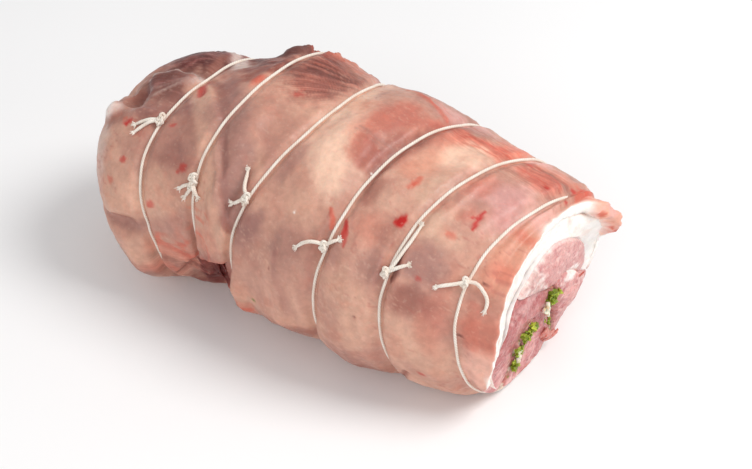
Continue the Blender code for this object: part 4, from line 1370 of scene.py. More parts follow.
def resample(outline, spacing):
    """A closed outline with rounded corners and evenly spaced points."""
    line = np.asarray(outline, float)
    for _ in range(2):
        following = np.roll(line, -1, axis=0)
        line = np.stack([0.75 * line + 0.25 * following, 0.25 * line + 0.75 * following], 1).reshape(-1, 2)
    closed = np.vstack([line, line[:1]])
    run = np.concatenate([[0], np.cumsum(np.linalg.norm(np.diff(closed, axis=0), axis=1))])
    place = np.linspace(0, run[-1], max(12, round(run[-1] / spacing)), endpoint=False)
    return np.stack([np.interp(place, run, closed[:, k]) for k in (0, 1)], 1)


def edge_distance(points, ring):
    """The distance from each point to a closed outline."""
    best = np.full(len(points), 1e9)
    for a, b in zip(ring, np.roll(ring, -1, axis=0)):
        way = b - a
        part = np.clip(((points - a) @ way) / max(way @ way, 1e-12), 0, 1)
        best = np.minimum(best, np.linalg.norm(points - a - part[:, None] * way, axis=1))
    return best


def is_inside(points, ring):
    """Which points lie inside a closed outline."""
    within = np.zeros(len(points), bool)
    for a, b in zip(ring, np.roll(ring, -1, axis=0)):
        crosses = (a[1] > points[:, 1]) != (b[1] > points[:, 1])
        height = np.where(b[1] == a[1], 1e-12, b[1] - a[1])
        within ^= crosses & (points[:, 0] < (b[0] - a[0]) * (points[:, 1] - a[1]) / height + a[0])
    return within


def fill_outline(ring, spacing):
    """Points and triangles that fill an outline. The outline's own points come first."""
    low = ring.min(axis=0)
    high = ring.max(axis=0)
    across = np.arange(low[0], high[0] + spacing, spacing)
    up = np.arange(low[1], high[1] + spacing, spacing * 0.866)
    grid = np.stack(np.meshgrid(across, up), -1)
    grid[1::2, :, 0] += spacing / 2
    grid = grid.reshape(-1, 2)
    grid = grid + 0.18 * spacing * noise(grid, 1.0, 93, 1)[:, None]
    grid = grid[is_inside(grid, ring)]
    grid = grid[edge_distance(grid, ring) > spacing * 0.55]
    points = np.vstack([ring, grid])
    made = delaunay_2d_cdt([Vector(p) for p in points], [], [list(range(len(ring)))], 1, 1e-5)
    source = [min(group) if group else None for group in made[3]]
    places = np.array([tuple(p) for p in made[0]])
    order = {old: new for new, old in enumerate(source) if old is not None}
    keep = [order[i] for i in range(len(ring))]
    rest = [i for i in range(len(places)) if i not in set(keep)]
    position = {old: new for new, old in enumerate(keep + rest)}
    faces = [tuple(position[i] for i in face) for face in made[2]]
    return places[keep + rest], faces


def spread_share(angle, share):
    """The share of the way out, with the lean drawn out to the outside where it is bare."""
    lean = lean_share(angle)
    drawn = (fat_edge(angle) / lean - 1) * step_up(share / lean, 0.7, 1.0)
    return share * (1 + BARE_SPREAD * bare_share(angle) * step_up(share, 0.80, 0.99) + drawn)


def face_point(places):
    """Where places at the cut lie on the roast's sloping cut."""
    angle, share = body_place(places)
    share = spread_share(angle, share)
    return inner_point(CUT + UNDERCUT * np.minimum(places[:, 1], 0), angle, share)


def make_end(name, outline, node, look, stand, rise, paint, spacing=LEAN_SPACING, gap=LEAN_GAP):
    """A piece that runs through the roast, with a finely made face at the cut."""
    ring = resample(inset(spaced(outline), gap), spacing)
    places, faces = fill_outline(ring, spacing)
    count = len(ring)
    distance = edge_distance(places, ring)
    distance[:count] = 0
    edge = np.clip(distance / EDGE_ROUND, 0, 1)
    edge = np.sqrt(1 - (1 - edge) ** 2)
    front = face_point(places)
    front[:, 0] += stand * (0.45 + 0.55 * edge) + rise(places, distance)
    points = [front]
    angle, share = body_place(ring)
    deep = inset(ring, LAYER_GAP)
    deep_angle, deep_share = body_place(deep)
    for back, drawn in ((2.6, 1.0), (5.0, 0.0), (10.0, 0.0)):
        shift = UNDERCUT * np.minimum(ring[:, 1], 0)
        wide = share + (spread_share(angle, share) - share) * drawn
        points.append(inner_point(CUT - back + shift, angle, wide))
    for station in reversed(INNER_STATIONS):
        points.append(inner_point(station, deep_angle, deep_share))
    sides = []
    start = 0
    following = len(places)
    for _ in points[1:]:
        sides += ring_faces(start, following, count)
        start = following
        following += count
    sides.append(tuple(range(start, start + count)))
    colour = paint(places, distance)
    dull = np.tile(colour[:count], (len(points) - 1, 1))
    flat = np.vstack(points)
    if sum(cross_area(places[list(face)]) for face in faces[:200]) < 0:
        faces = [face[::-1] for face in faces]
    layers = {"tint": to_linear(np.vstack([colour, dull]))}
    make_piece(name, flat, faces + sides, look, layers, node)


def cross_area(corners):
    """Twice the signed area of a flat triangle."""
    a, b, c = corners[:3]
    return (b[0] - a[0]) * (c[1] - a[1]) - (b[1] - a[1]) * (c[0] - a[0])


def eye_rise(places, distance):
    """The pale eye muscle swells smoothly, with a fine grain."""
    swell_up = 1.0 * (1 - np.exp(-distance / 7))
    return swell_up + 0.30 * noise(places, 7, 101) + 0.13 * noise(places, 1.7, 103, 2)


def tendon_paint(colour, places):
    """The white tendon between the eye muscle and the lean beside it."""
    ragged = 0.35 * noise(places, 2.2, 161, 3)
    tendon = 1 - step_up(np.hypot((places[:, 0] - 20) / 8.5, (places[:, 1] - 3.4) / 3.4) + ragged, 0.5, 1.05)
    return blend_in(colour, (248, 238, 232), tendon * ROUND_MM)


def eye_paint(places, distance):
    """Pale muscle, greyer and streaky on its near side, with a white sheath between."""
    colour = spotted(plain((210, 148, 144), len(places)), places, EYE_BROAD)
    apart = places[:, 0] + 0.35 * (places[:, 1] - 8) + 0.6 * noise(places, 5, 163, 2)
    turned = np.column_stack([places @ (0.94, 0.34) * 0.22, places @ (-0.34, 0.94)])
    streak = noise(turned, 2.6, 165, 3)
    zone = blend_in(plain((208, 166, 160), len(places)), (178, 150, 148), step_up(streak, 0.05, 0.5) * 0.9)
    zone = blend_in(zone, (236, 218, 212), step_up(-streak, 0.2, 0.6) * 0.9)
    colour = blend_in(colour, zone, 1 - step_up(apart, -3.0, 1.5))
    sheath = np.exp(-(((apart + 0.6) / 1.3) ** 2)) * step_up(noise(places, 4, 167, 2), -0.6, 0.2)
    colour = blend_in(colour, (246, 234, 228), sheath * 0.8)
    colour = spotted(tendon_paint(colour, places), places, EYE_FINE)
    # A pale border at the piece's edge: partly the pale border between muscles, partly painted light that
    # lifts the shade in the gap between pieces.
    return blend_in(colour, (243, 226, 220), (1 - step_up(distance, 0.2, 1.3)) * 0.6)


def lean_rise(places, distance):
    """The lean bulges in rough bundles."""
    swell_up = 1.1 * (1 - np.exp(-distance / 6))
    rough = 0.7 * noise(places, 8, 111) + 0.34 * noise(places, 2.6, 113, 3)
    return swell_up + rough * np.clip(distance / 2.0, 0.15, 1)


def lean_paint(places, distance):
    """Darker lean, flecked with fat, redder low down and where it is torn."""
    colour = spotted(plain((206, 134, 132), len(places)), places, LEAN_SPOTS)
    ridge = 1 - step_up(np.abs(noise(places, 9, 121, 3)), 0.0, 0.06)
    colour = blend_in(colour, (240, 216, 206), ridge * 0.6)
    low = step_up(-places[:, 1], 24, 38)
    colour = blend_in(colour, (192, 96, 84), low * step_up(noise(places, 5, 123), -0.1, 0.6) * 0.7)
    torn = 1 - step_up(np.hypot((places[:, 0] - 5) / 7, (places[:, 1] + 25.5) / 4.5), 0.4, 1.1)
    colour = blend_in(colour, (186, 78, 62), torn * step_up(noise(places, 3, 125), -0.2, 0.4) * 0.8)
    # A pale border at the piece's edge: partly the pale border between muscles, partly painted light that
    # lifts the shade in the gap between pieces.
    return blend_in(colour, (224, 170, 162), (1 - step_up(distance, 0.2, 1.2)) * 0.4)


def far_rise(places, distance):
    """The far lean bulges out of the cut."""
    bulge = np.exp(-(((places[:, 0] - 23) / 13) ** 2) - (((places[:, 1] + 15) / 13) ** 2))
    return lean_rise(places, distance) + 4.6 * bulge


def far_paint(places, distance):
    """The far lean, with the end of the tendon on it."""
    return tendon_paint(lean_paint(places, distance), places)


def near_paint(places, distance):
    """The near lean, redder higher up, with a pale haze by the fold."""
    colour = lean_paint(places, distance)
    high = step_up(places[:, 1], -26, -4)
    colour = colour * (np.array([1.0, 0.98, 0.99]) - high[:, None] * np.array([0.12, 0.20, 0.20]))
    haze = 1 - step_up(np.hypot((places[:, 0] + 12) / 12, (places[:, 1] - 7) / 3), 0.4, 1.2)
    return blend_in(colour, (222, 186, 182), haze * 0.5)


def filling_rise(places, distance):
    """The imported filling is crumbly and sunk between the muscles."""
    return -1.9 + 0.6 * noise(places, 3, 131) + 0.4 * noise(places, 1.2, 133, 2)


def filling_paint(places, distance):
    """Reddish juice with chopped garlic and leaves."""
    return spotted(plain((196, 120, 112), len(places)), places, FILLING_SPOTS)


def make_fillings(seams, look):
    """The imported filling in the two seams."""
    for number, outline in enumerate(seams, 1):
        make_end(f"filling_{number}", outline, f"herb_filling_{number}", look, STAND_FILLING,
                 filling_rise, filling_paint, FILLING_SPACING, FILLING_GAP)


def make_lean(eye_look, lean_look, filling_look):
    """The eye muscle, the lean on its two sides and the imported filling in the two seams."""
    fold_start = cut_place(FOLD_ANGLE, lean_share(FOLD_ANGLE))
    fold_end = cut_place(FAT_FROM, lean_share(FAT_FROM))
    left = smooth_line([tuple(fold_start)] + FOLD_LEFT)
    right = smooth_line(FOLD_RIGHT + [tuple(fold_end)])
    half = SEAM_WIDTH / 2
    top_1 = [tuple((np.array(FOLD_LEFT[-1]) + FOLD_RIGHT[0]) / 2)]
    near_1, far_1, spread_1 = seam_sides(top_1 + SEAM_1, SEAM_1_ANGLE, half)
    near_1[0] = FOLD_LEFT[-1]
    far_1[0] = FOLD_RIGHT[0]
    near_2, far_2, spread_2 = seam_sides(SEAM_2, SEAM_2_ANGLE, half)
    tip_2 = 2 * near_2[0] - near_2[1]
    tip_2 = (near_2[0] + far_2[0]) / 2 + (tip_2 - near_2[0]) * 0.5
    eye = [*edge_run(FAT_FROM, FOLD_ANGLE), *left[1:], *right[:-1]]
    make_end("eye_lean", eye, "eye_muscle", eye_look, STAND_EYE, eye_rise, eye_paint)
    near = [
        *edge_run(FOLD_ANGLE, FAT_TO),
        cut_place(FAT_TO + 1.0, 1.0),
        *edge_run(FAT_TO + 1.0, SEAM_2_ANGLE - spread_2)[1:-1],
        *near_2[::-1],
        tip_2,
        *far_2,
        *edge_run(SEAM_2_ANGLE + spread_2, SEAM_1_ANGLE - spread_1)[1:-1],
        *near_1[::-1],
        *left[1:-1][::-1],
    ]
    make_end("near_side_lean", near, "near_lean", lean_look, STAND_NEAR, lean_rise, near_paint)
    far = [
        *edge_run(SEAM_1_ANGLE + spread_1, 360 + FAT_FROM - 1.0),
        fold_end,
        *right[:-1][::-1],
        *far_1[1:-1],
    ]
    make_end("far_side_lean", far, "far_lean", lean_look, STAND_SIDE, far_rise, far_paint)
    make_fillings([[*far_1, *near_1[::-1]], [tip_2, *far_2, *near_2[::-1]]], filling_look)


def make_shreds(look):
    """Thin torn shreds at the edge of the lean."""
    parts = []
    for places, wide in SHREDS:
        path = np.array([cut_home(*place) for place in smooth_line(places, 0.6)])
        share = np.linspace(0, 1, len(path))
        radius = wide * (0.35 + 0.65 * np.sin(math.pi * np.clip(share * 0.8 + 0.1, 0, 1)))
        own, quads, _ = tube(path, SHRED_UPWARD, radius, 10)
        parts.append((own + 0.22 * noise(own, 1.6, 157, 2)[:, None], quads))
    flat, faces = joined(parts)
    colour = spotted(plain((206, 138, 128), len(flat)), flat, SHRED_SPOTS)
    make_piece("lean_shreds", flat, faces, look, {"tint": to_linear(colour)}, "far_lean")


def paint_fat(row, angles, share, hazy, shaded_groove):
    """The colour of a row of the fat, with its grey seam, which is partly painted shade."""
    colour = spotted(plain(WHITE_FAT, len(angles)), row, FAT_SPOTS)
    broken = 0.65 + 0.35 * step_up(noise(row, 5, 169, 3), -0.5, 0.3)
    # The grey haze beside the seam and the darker grey in its groove: partly the seam's own grey, partly
    # painted shade of the fold between two layers of fat.
    colour = blend_in(colour, (212, 198, 194), hazy * broken * 0.9)
    colour = blend_in(colour, (172, 158, 153), shaded_groove * broken)
    low = step_up(angles, 150, 205)
    colour = blend_in(colour, (226, 192, 180), low * step_up(noise(row, 5, 149), 0.1, 0.7) * 0.5)
    return blend_in(colour, PINK_FAT, np.full(len(angles), step_up(share, 0.86, 1.0)) * 0.45)


def fat_face(angles, shares):
    """The rows of the fat's face from the lean out to the flesh, and their colours."""
    inner = fat_edge(angles)
    seam_table = np.array(GREY_SEAM)
    seam = natural_curve(seam_table[:, 0], seam_table[:, 1], angles)
    seam_shows = step_up(angles, 98, 122) * (1 - step_up(angles, 186, 198))
    rows = []
    colours = []
    for share in shares:
        row = inner_point(CUT, angles, inner + (1.0 - inner) * share, -0.25 * share)
        row[:, 0] += UNDERCUT * np.minimum(row[:, 2] - centre_point(CUT)[2], 0) * (1 - share)
        gap = (share - seam) * (1 - inner) * FAT_RADIUS
        shaded_groove = np.exp(-((gap / 1.5) ** 4)) * seam_shows
        hazy = step_up(gap, -6.0, -1.0) * (1 - step_up(gap, -1.0, 0.5)) * seam_shows
        soft = 0.6 * noise(row, 9, 141, 3) + 0.2 * noise(row, 2.6, 143, 2)
        edge = np.sqrt(np.clip(min(share, 1 - share) * 8, 0, 1))
        row[:, 0] += 0.9 * edge + soft * edge - 0.4 * shaded_groove
        row[:, 0] += rim_forward(angles) * 0.92 * share**1.2
        row[:, 0] += FAT_UNDER_FLAP * (flap_reach(angles) - RIM_ROUND) * share**1.5
        rows.append(row)
        colours.append(paint_fat(row, angles, share, hazy, shaded_groove))
    return rows, colours


def fat_faces(levels, count, walls):
    """The faces of the fat: its front, the sides that meet its walls, the walls and the back."""
    faces = []
    for k in range(levels - 1):
        faces += [(k * count + i, k * count + i + 1, (k + 1) * count + i + 1, (k + 1) * count + i)
                  for i in range(count - 1)]
    start = levels * count
    left = [k * count for k in range(levels)]
    right = [k * count + count - 1 for k in range(levels)]
    first_ring = [*range(count), *reversed(range(start - count, start))]
    ring = 2 * count
    for i in range(ring):
        after = (i + 1) % ring
        if i == count - 1:
            front = right
        elif i == ring - 1:
            front = [first_ring[i], *left[::-1][1:]]
        else:
            front = [first_ring[i], first_ring[after]]
        faces.append((*front, start + after, start + i))
    for k in range(walls - 1):
        faces += ring_faces(start + k * ring, start + (k + 1) * ring, ring)
    base = start + (walls - 1) * ring
    end = base + ring - 1
    return faces + [(base + i, base + i + 1, end - 1 - i, end - i) for i in range(count - 1)]


def make_fat(look):
    """The white fat between the outer layer and the lean, with a grey seam in its face that is partly painted
    shade.
    """
    angles = np.linspace(FAT_FROM, FAT_TO, FAT_COLUMNS)
    rows, colours = fat_face(angles, np.linspace(0, 1, FAT_ROWS))
    points = [np.vstack(rows)]
    for station in (CUT - 8, *reversed(INNER_STATIONS)):
        outer = inner_point(station, angles, np.ones(FAT_COLUMNS), LAYER_GAP)
        inner_wall = inner_point(station, angles, lean_share(angles))
        points.append(np.vstack([inner_wall, outer[::-1]]))
    faces = fat_faces(FAT_ROWS, FAT_COLUMNS, len(points) - 1)
    flat = np.vstack(points)
    colour = np.vstack([*colours, plain(PINK_FAT, len(flat) - FAT_ROWS * FAT_COLUMNS)])
    make_piece("fat_rim", flat, faces, look, {"tint": to_linear(colour)}, "fat_layer")


# Parsley and garlic


def cut_home(across, up, out):
    """A point in front of the cut, at a place across and up."""
    place = np.array([[across, up]])
    home = face_point(place)[0]
    home[0] += out
    return home


def leaf_mesh(size, chance):
    """A toothed, curly leaflet of parsley, lying flat round its own middle."""
    lobes = LEAF_LOBES
    ring = LEAF_POINTS
    points = []
    faces = []
    turns = np.linspace(0, 2 * math.pi, ring, endpoint=False)
    outline = 0.55 + 0.33 * np.abs(np.cos(lobes * turns / 2)) ** 1.5 + 0.10 * np.cos(7 * lobes * turns)
    outline *= 1 + 0.08 * np.array([chance.uniform(-1, 1) for _ in turns])
    outline *= size / 2
    levels = LEAF_LEVELS
    phase = chance.uniform(0, 6.28)
    curl = chance.uniform(0.7, 1.3)
    for side in (0.13, -0.13):
        for level in levels:
            for k, turn in enumerate(turns):
                reach = outline[k] * level
                wave = 0.22 * size * level**2 * math.sin(5 * turn + phase) * 0.5 * curl
                cup = -0.12 * size * level**2
                vein = 0.05 * size * math.cos(lobes * turn) * level * (1 - level)
                thin = side * (1 - 0.6 * level)
                points.append((thin + wave + cup + vein, reach * math.cos(turn), reach * math.sin(turn)))
    layer = len(levels) * ring
    for base, flip in ((0, False), (layer, True)):
        for k in range(len(levels) - 1):
            for quad in ring_faces(base + k * ring, base + (k + 1) * ring, ring):
                faces.append(quad[::-1] if flip else quad)
    faces += ring_faces(layer - ring, 2 * layer - ring, ring)
    return np.array(points), faces, np.tile(np.repeat(levels, ring), 2)


def random_turn(chance, lean):
    """A turn about the leaf's own axis and a lean away from the cut."""
    spin = chance.uniform(0, 2 * math.pi)
    tilt = chance.uniform(-lean, lean)
    heading = chance.uniform(0, 2 * math.pi)
    c, s = math.cos(spin), math.sin(spin)
    turn = np.array([[1, 0, 0], [0, c, -s], [0, s, c]])
    axis = np.array([0.0, math.cos(heading), math.sin(heading)])
    k = np.array([[0, -axis[2], axis[1]], [axis[2], 0, -axis[0]], [-axis[1], axis[0], 0]])
    lean_matrix = np.eye(3) + math.sin(tilt) * k + (1 - math.cos(tilt)) * k @ k
    return lean_matrix @ turn


def make_parsley(name, leaves, node, look, chance):
    """A bunch of small curly leaflets round each leaf's place."""
    parts = []
    colours = []
    for across, up, size in leaves:
        number = max(6, round(size * 1.2))
        for _ in range(number):
            small = size * chance.uniform(0.48, 0.76)
            spread = size * 0.34 * math.sqrt(chance.random())
            heading = chance.uniform(0, 2 * math.pi)
            home = cut_home(
                across + spread * math.cos(heading), up + spread * math.sin(heading), chance.uniform(2.2, 4.2)
            )
            leaf, leaf_faces, level = leaf_mesh(small, chance)
            parts.append((leaf @ random_turn(chance, 0.9).T + home, leaf_faces))
            tone = chance.random()
            green = np.array(DARK_LEAF) * (1 - tone) + np.array(PALE_LEAF) * tone
            colours.append(green[None] * (0.80 + 0.26 * level[:, None]))
    points, faces = joined(parts)
    make_piece(name, points, faces, look, {"tint": to_linear(np.vstack(colours))}, node)


def from_lowest(face):
    """The corners of a face, from its lowest number on."""
    corners = [corner.index for corner in face.verts]
    first = corners.index(min(corners))
    return (*corners[first:], *corners[:first])


def make_garlic(name, bits, node, look, chance):
    """Chopped, faceted bits of garlic."""
    parts = []
    for across, up, size in bits:
        for k in range(3):
            work = bmesh.new()
            bmesh.ops.create_cube(work, size=1.0)
            bmesh.ops.bevel(work, geom=work.edges[:], offset=0.16, segments=2, affect="EDGES")
            bmesh.ops.subdivide_edges(work, edges=work.edges[:], cuts=2, use_grid_fill=True)
            own = np.array([tuple(v.co) for v in work.verts])
            corners = sorted(from_lowest(face) for face in work.faces)
            work.free()
            own = own * np.array((0.5, 0.62, 1.15)) * size * chance.uniform(0.55, 0.85)
            own = own + 0.10 * size * noise(own + 9 * k, size * 0.7, 151 + k, 2)[:, None]
            own = own @ random_turn(chance, 0.5).T
            home = cut_home(across + chance.uniform(-1, 1), up + 1.9 * (k - 1), chance.uniform(2.3, 3.3))
            parts.append((own + home, corners))
    flat, faces = joined(parts)
    colour = spotted(plain((243, 234, 216), len(flat)), flat, GARLIC_SPOTS)
    make_piece(name, flat, faces, look, {"tint": to_linear(colour)}, node)


# Twine


def tube(path, upward, radius, sides, closed=False, lay=None):
    """Points, quads and the depth between the plies, for a round or a three-ply twisted tube. The depth also
    sets the painted shade between the plies.
    """
    path = np.asarray(path, float)
    count = len(path)
    if closed:
        along = np.roll(path, -1, axis=0) - np.roll(path, 1, axis=0)
        step = np.linalg.norm(np.diff(np.vstack([path, path[:1]]), axis=0), axis=1)
    else:
        along = np.gradient(path, axis=0)
        step = np.append(np.linalg.norm(np.diff(path, axis=0), axis=1), 0)
    run = np.concatenate([[0], np.cumsum(step)])
    along /= np.linalg.norm(along, axis=1, keepdims=True)
    aside = np.cross(along, np.broadcast_to(upward, path.shape))
    aside /= np.linalg.norm(aside, axis=1, keepdims=True)
    over = np.cross(aside, along)
    turn = 2 * math.pi * np.arange(sides) / sides
    wide = np.broadcast_to(np.asarray(radius, float), (count,))
    shaded_groove = np.zeros((count, sides))
    if lay:
        turns = max(1, round(run[-1] / lay)) if closed else run[-1] / lay
        twist = 2 * math.pi * turns * run[:count] / run[-1]
        lobe = np.abs(np.cos(1.5 * (turn[None, :] - twist[:, None])))
        shaded_groove = 1 - lobe**0.8
    reach = wide[:, None] * (1 - 0.26 * shaded_groove)
    spokes = np.cos(turn)[None, :, None] * aside[:, None] + np.sin(turn)[None, :, None] * over[:, None]
    points = (path[:, None] + reach[..., None] * spokes).reshape(-1, 3)
    faces = []
    for k in range(count if closed else count - 1):
        faces += ring_faces(k * sides, (k + 1) % count * sides, sides)
    if not closed:
        faces.append(tuple(range(sides))[::-1])
        faces.append(tuple((count - 1) * sides + i for i in range(sides)))
    return points, faces, shaded_groove.ravel()


def knot_path(centre, along, across, up, sizes, turn):
    """An overhand knot pulled tight."""
    t = np.linspace(0, 2 * math.pi, 90, endpoint=False)
    x = (np.sin(t) + 2 * np.sin(2 * t)) / 3 * sizes[0]
    y = (np.cos(t) - 2 * np.cos(2 * t)) / 3 * sizes[1]
    z = -np.sin(3 * t) * sizes[2]
    cosine = math.cos(turn)
    sine = math.sin(turn)
    x, y = x * cosine - y * sine, x * sine + y * cosine
    return centre + x[:, None] * along + y[:, None] * across + z[:, None] * up


def fray(tip, heading, up, length, chance):
    """Loose strands at the end of a tail."""
    sideways = np.cross(up, heading)
    made = []
    for k in range(FRAY_STRANDS):
        fan = (k / (FRAY_STRANDS - 1) - 0.5) * 1.7 + chance.uniform(-0.15, 0.15)
        rise = chance.uniform(-0.05, 0.5)
        direction = heading * math.cos(fan) + sideways * math.sin(fan) + up * rise
        direction /= np.linalg.norm(direction)
        reach = length * chance.uniform(0.55, 1.1) * (1 - 0.25 * abs(fan))
        bend = sideways * chance.uniform(-0.5, 0.5) + up * chance.uniform(-0.15, 0.35)
        share = np.linspace(0, 1, 7)[:, None]
        path = tip + direction * reach * share + bend * share**2 * reach * 0.45
        path = path + 0.10 * np.sin(share * 9 + k) * sideways
        radius = 0.30 * (1 - 0.65 * share[:, 0])
        made.append(tube(path, up, radius, 5))
    return made


def loop_path(number):
    """The line that a loop of twine takes round the roast, and how flat it lies at each point."""
    angles = np.linspace(0, 360, LOOP_POINTS, endpoint=False)
    wobble = 0.12 * np.sin(np.radians(angles * 7 + 40 * number)) + 0.1 * np.sin(np.radians(angles * 17))
    station = np.full(len(angles), LOOPS[number])
    low = hill(angles, 205, 45)
    sunk = -notch_depth(angles) + TWINE_RADIUS - 0.18 - 0.45 * low
    if number == DEEP_LOOP:
        sunk = sunk - 3.4 * hill(angles, 207, 15)
    path = move_out(bare_outside(station, angles), centre_point(station), sunk)
    path[:, 0] += wobble
    path[:, 2] = np.maximum(path[:, 2], TWINE_RADIUS + 0.1)
    return path, outward(station, angles), low


def knot_parts(number):
    """The coils of a loop's knot."""
    loop = LOOPS[number]
    knot_angle = KNOTS[number][0]
    up = outward(loop, knot_angle)
    here = bare_outside(loop, knot_angle)
    along = bare_outside(loop, knot_angle + 2) - here
    along -= up * (along @ up)
    along /= np.linalg.norm(along)
    across = np.cross(up, along)
    centre = here + up * KNOT_HEIGHT
    parts = []
    for sizes, turn, slide in KNOT_COILS[number]:
        path = knot_path(centre + along * slide, along, across, up, sizes, turn)
        parts.append(tube(path, up + 0.01, KNOT_RADIUS, 10, True, KNOT_LAY))
    return parts


def tail_parts(places, chance):
    """A loose end of twine and the strands at its tip."""
    station, angle, height = np.array(places, float).T
    fine = smooth_line(np.column_stack([station, angle * ROUND_MM, height - 0.12]), 0.5)
    path = bare_outside(fine[:, 0], fine[:, 1] / ROUND_MM)
    down = notch(fine[:, 0], fine[:, 1] / ROUND_MM) * 0.5
    path = move_out(path, centre_point(fine[:, 0]), fine[:, 2] - down)
    tip_up = outward(station[-1], angle[-1])
    shrink = 1 - 0.25 * step_up(np.linspace(0, 1, len(path)), 0.75, 1.0)
    heading = path[-1] - path[-3]
    heading /= np.linalg.norm(heading)
    strands = fray(path[-1] - heading * 0.6, heading, tip_up, FRAY_LENGTH, chance)
    return [tube(path, tip_up, TAIL_RADIUS * shrink, 12, False, TAIL_LAY), *strands]


def make_twine(number, look, chance):
    """One loop of three-ply twine with its knot and its loose ends."""
    path, upward, low = loop_path(number)
    parts = [tube(path, upward, TWINE_RADIUS * (1 - 0.14 * low), 18, True, PLY_LAY)]
    parts += knot_parts(number)
    knot_angle, tails = KNOTS[number]
    for places in tails:
        parts += tail_parts([(LOOPS[number], knot_angle, 1.7), *places], chance)
    points, faces = joined([part[:2] for part in parts])
    layers = {"shaded_groove": np.concatenate([part[2] for part in parts])}
    make_piece(f"twine_{number + 1}", points, faces, look, layers, f"string_{number + 1}")


# Materials


class Look:
    """A material under construction."""

    def __init__(self, name):
        self.made = bpy.data.materials.new(name)
        self.made.use_nodes = True
        self.tree = self.made.node_tree
        self.shader = self.tree.nodes["Principled BSDF"]
        self.place = self.tree.nodes.new("ShaderNodeTexCoord").outputs["Object"]

    def link(self, source, target):
        """Join a socket to another, or set its plain value."""
        if hasattr(source, "links"):
            self.tree.links.new(source, target)
        else:
            target.default_value = source

    def layer(self, name, output="Color"):
        """A layer of the mesh."""
        node = self.tree.nodes.new("ShaderNodeAttribute")
        node.attribute_name = name
        return node.outputs[output]

    def noise(self, scale, detail=3.0, roughness=0.55, place=None, distortion=0.0):
        """Noise in space."""
        node = self.tree.nodes.new("ShaderNodeTexNoise")
        self.link(place or self.place, node.inputs["Vector"])
        node.inputs["Scale"].default_value = scale
        node.inputs["Detail"].default_value = detail
        node.inputs["Roughness"].default_value = roughness
        node.inputs["Distortion"].default_value = distortion
        return node.outputs["Fac"]

    def cells(self, scale):
        """The distance to the nearest wall between cells."""
        node = self.tree.nodes.new("ShaderNodeTexVoronoi")
        node.feature = "DISTANCE_TO_EDGE"
        self.link(self.place, node.inputs["Vector"])
        node.inputs["Scale"].default_value = scale
        return node.outputs["Distance"]

    def span(self, value, low, high, to_low=0.0, to_high=1.0):
        """A value taken smoothly from one span to another."""
        node = self.tree.nodes.new("ShaderNodeMapRange")
        node.interpolation_type = "SMOOTHSTEP"
        self.link(value, node.inputs["Value"])
        for label, number in (("From Min", low), ("From Max", high), ("To Min", to_low), ("To Max", to_high)):
            node.inputs[label].default_value = number
        return node.outputs["Result"]

    def maths(self, operation, first, second):
        """A sum or a product."""
        node = self.tree.nodes.new("ShaderNodeMath")
        node.operation = operation
        self.link(first, node.inputs[0])
        self.link(second, node.inputs[1])
        return node.outputs[0]

    def mix(self, factor, first, second, blend="MIX"):
        """Two colours mixed by a factor."""
        node = self.tree.nodes.new("ShaderNodeMix")
        node.data_type = "RGBA"
        node.blend_type = blend
        self.link(factor, node.inputs["Factor"])
        self.link(first, node.inputs[6])
        self.link(second, node.inputs[7])
        return node.outputs[2]

    def stretch(self, vector, scale):
        """Places drawn out by a scale."""
        node = self.tree.nodes.new("ShaderNodeMapping")
        self.link(vector, node.inputs["Vector"])
        node.inputs["Scale"].default_value = scale
        return node.outputs["Vector"]

    def speckle(self, scale, detail, roughness, *spans, **more):
        """Noise taken from one span to another."""
        return self.span(self.noise(scale, detail, roughness, **more), *spans)

    def rough(self, scale, detail, low, high):
        """An uneven roughness."""
        return self.speckle(scale, detail, 0.55, 0.3, 0.7, low, high)

    def filtered(self, factor, colour, filter_colour):
        """A colour seen through another, by a factor."""
        return self.mix(factor, colour, self.mix(1.0, colour, shade(filter_colour), "MULTIPLY"))

    def bump(self, height, distance, strength=1.0, before=None):
        """A normal bent by a height, on top of another bump."""
        node = self.tree.nodes.new("ShaderNodeBump")
        node.inputs["Strength"].default_value = strength
        node.inputs["Distance"].default_value = distance
        self.link(height, node.inputs["Height"])
        if before is not None:
            self.link(before, node.inputs["Normal"])
        return node.outputs["Normal"]

    def finish(self, colour, roughness, normal=None, **values):
        """Set what the shader shows, and return the material."""
        self.link(colour, self.shader.inputs["Base Color"])
        self.link(roughness, self.shader.inputs["Roughness"])
        if normal is not None:
            self.link(normal, self.shader.inputs["Normal"])
        for label, number in values.items():
            self.shader.inputs[label.replace("_", " ")].default_value = number
        return self.made


def shade(colour):
    """A colour from 0 to 255 as a shader takes it."""
    return (*to_linear(colour).tolist(), 1.0)


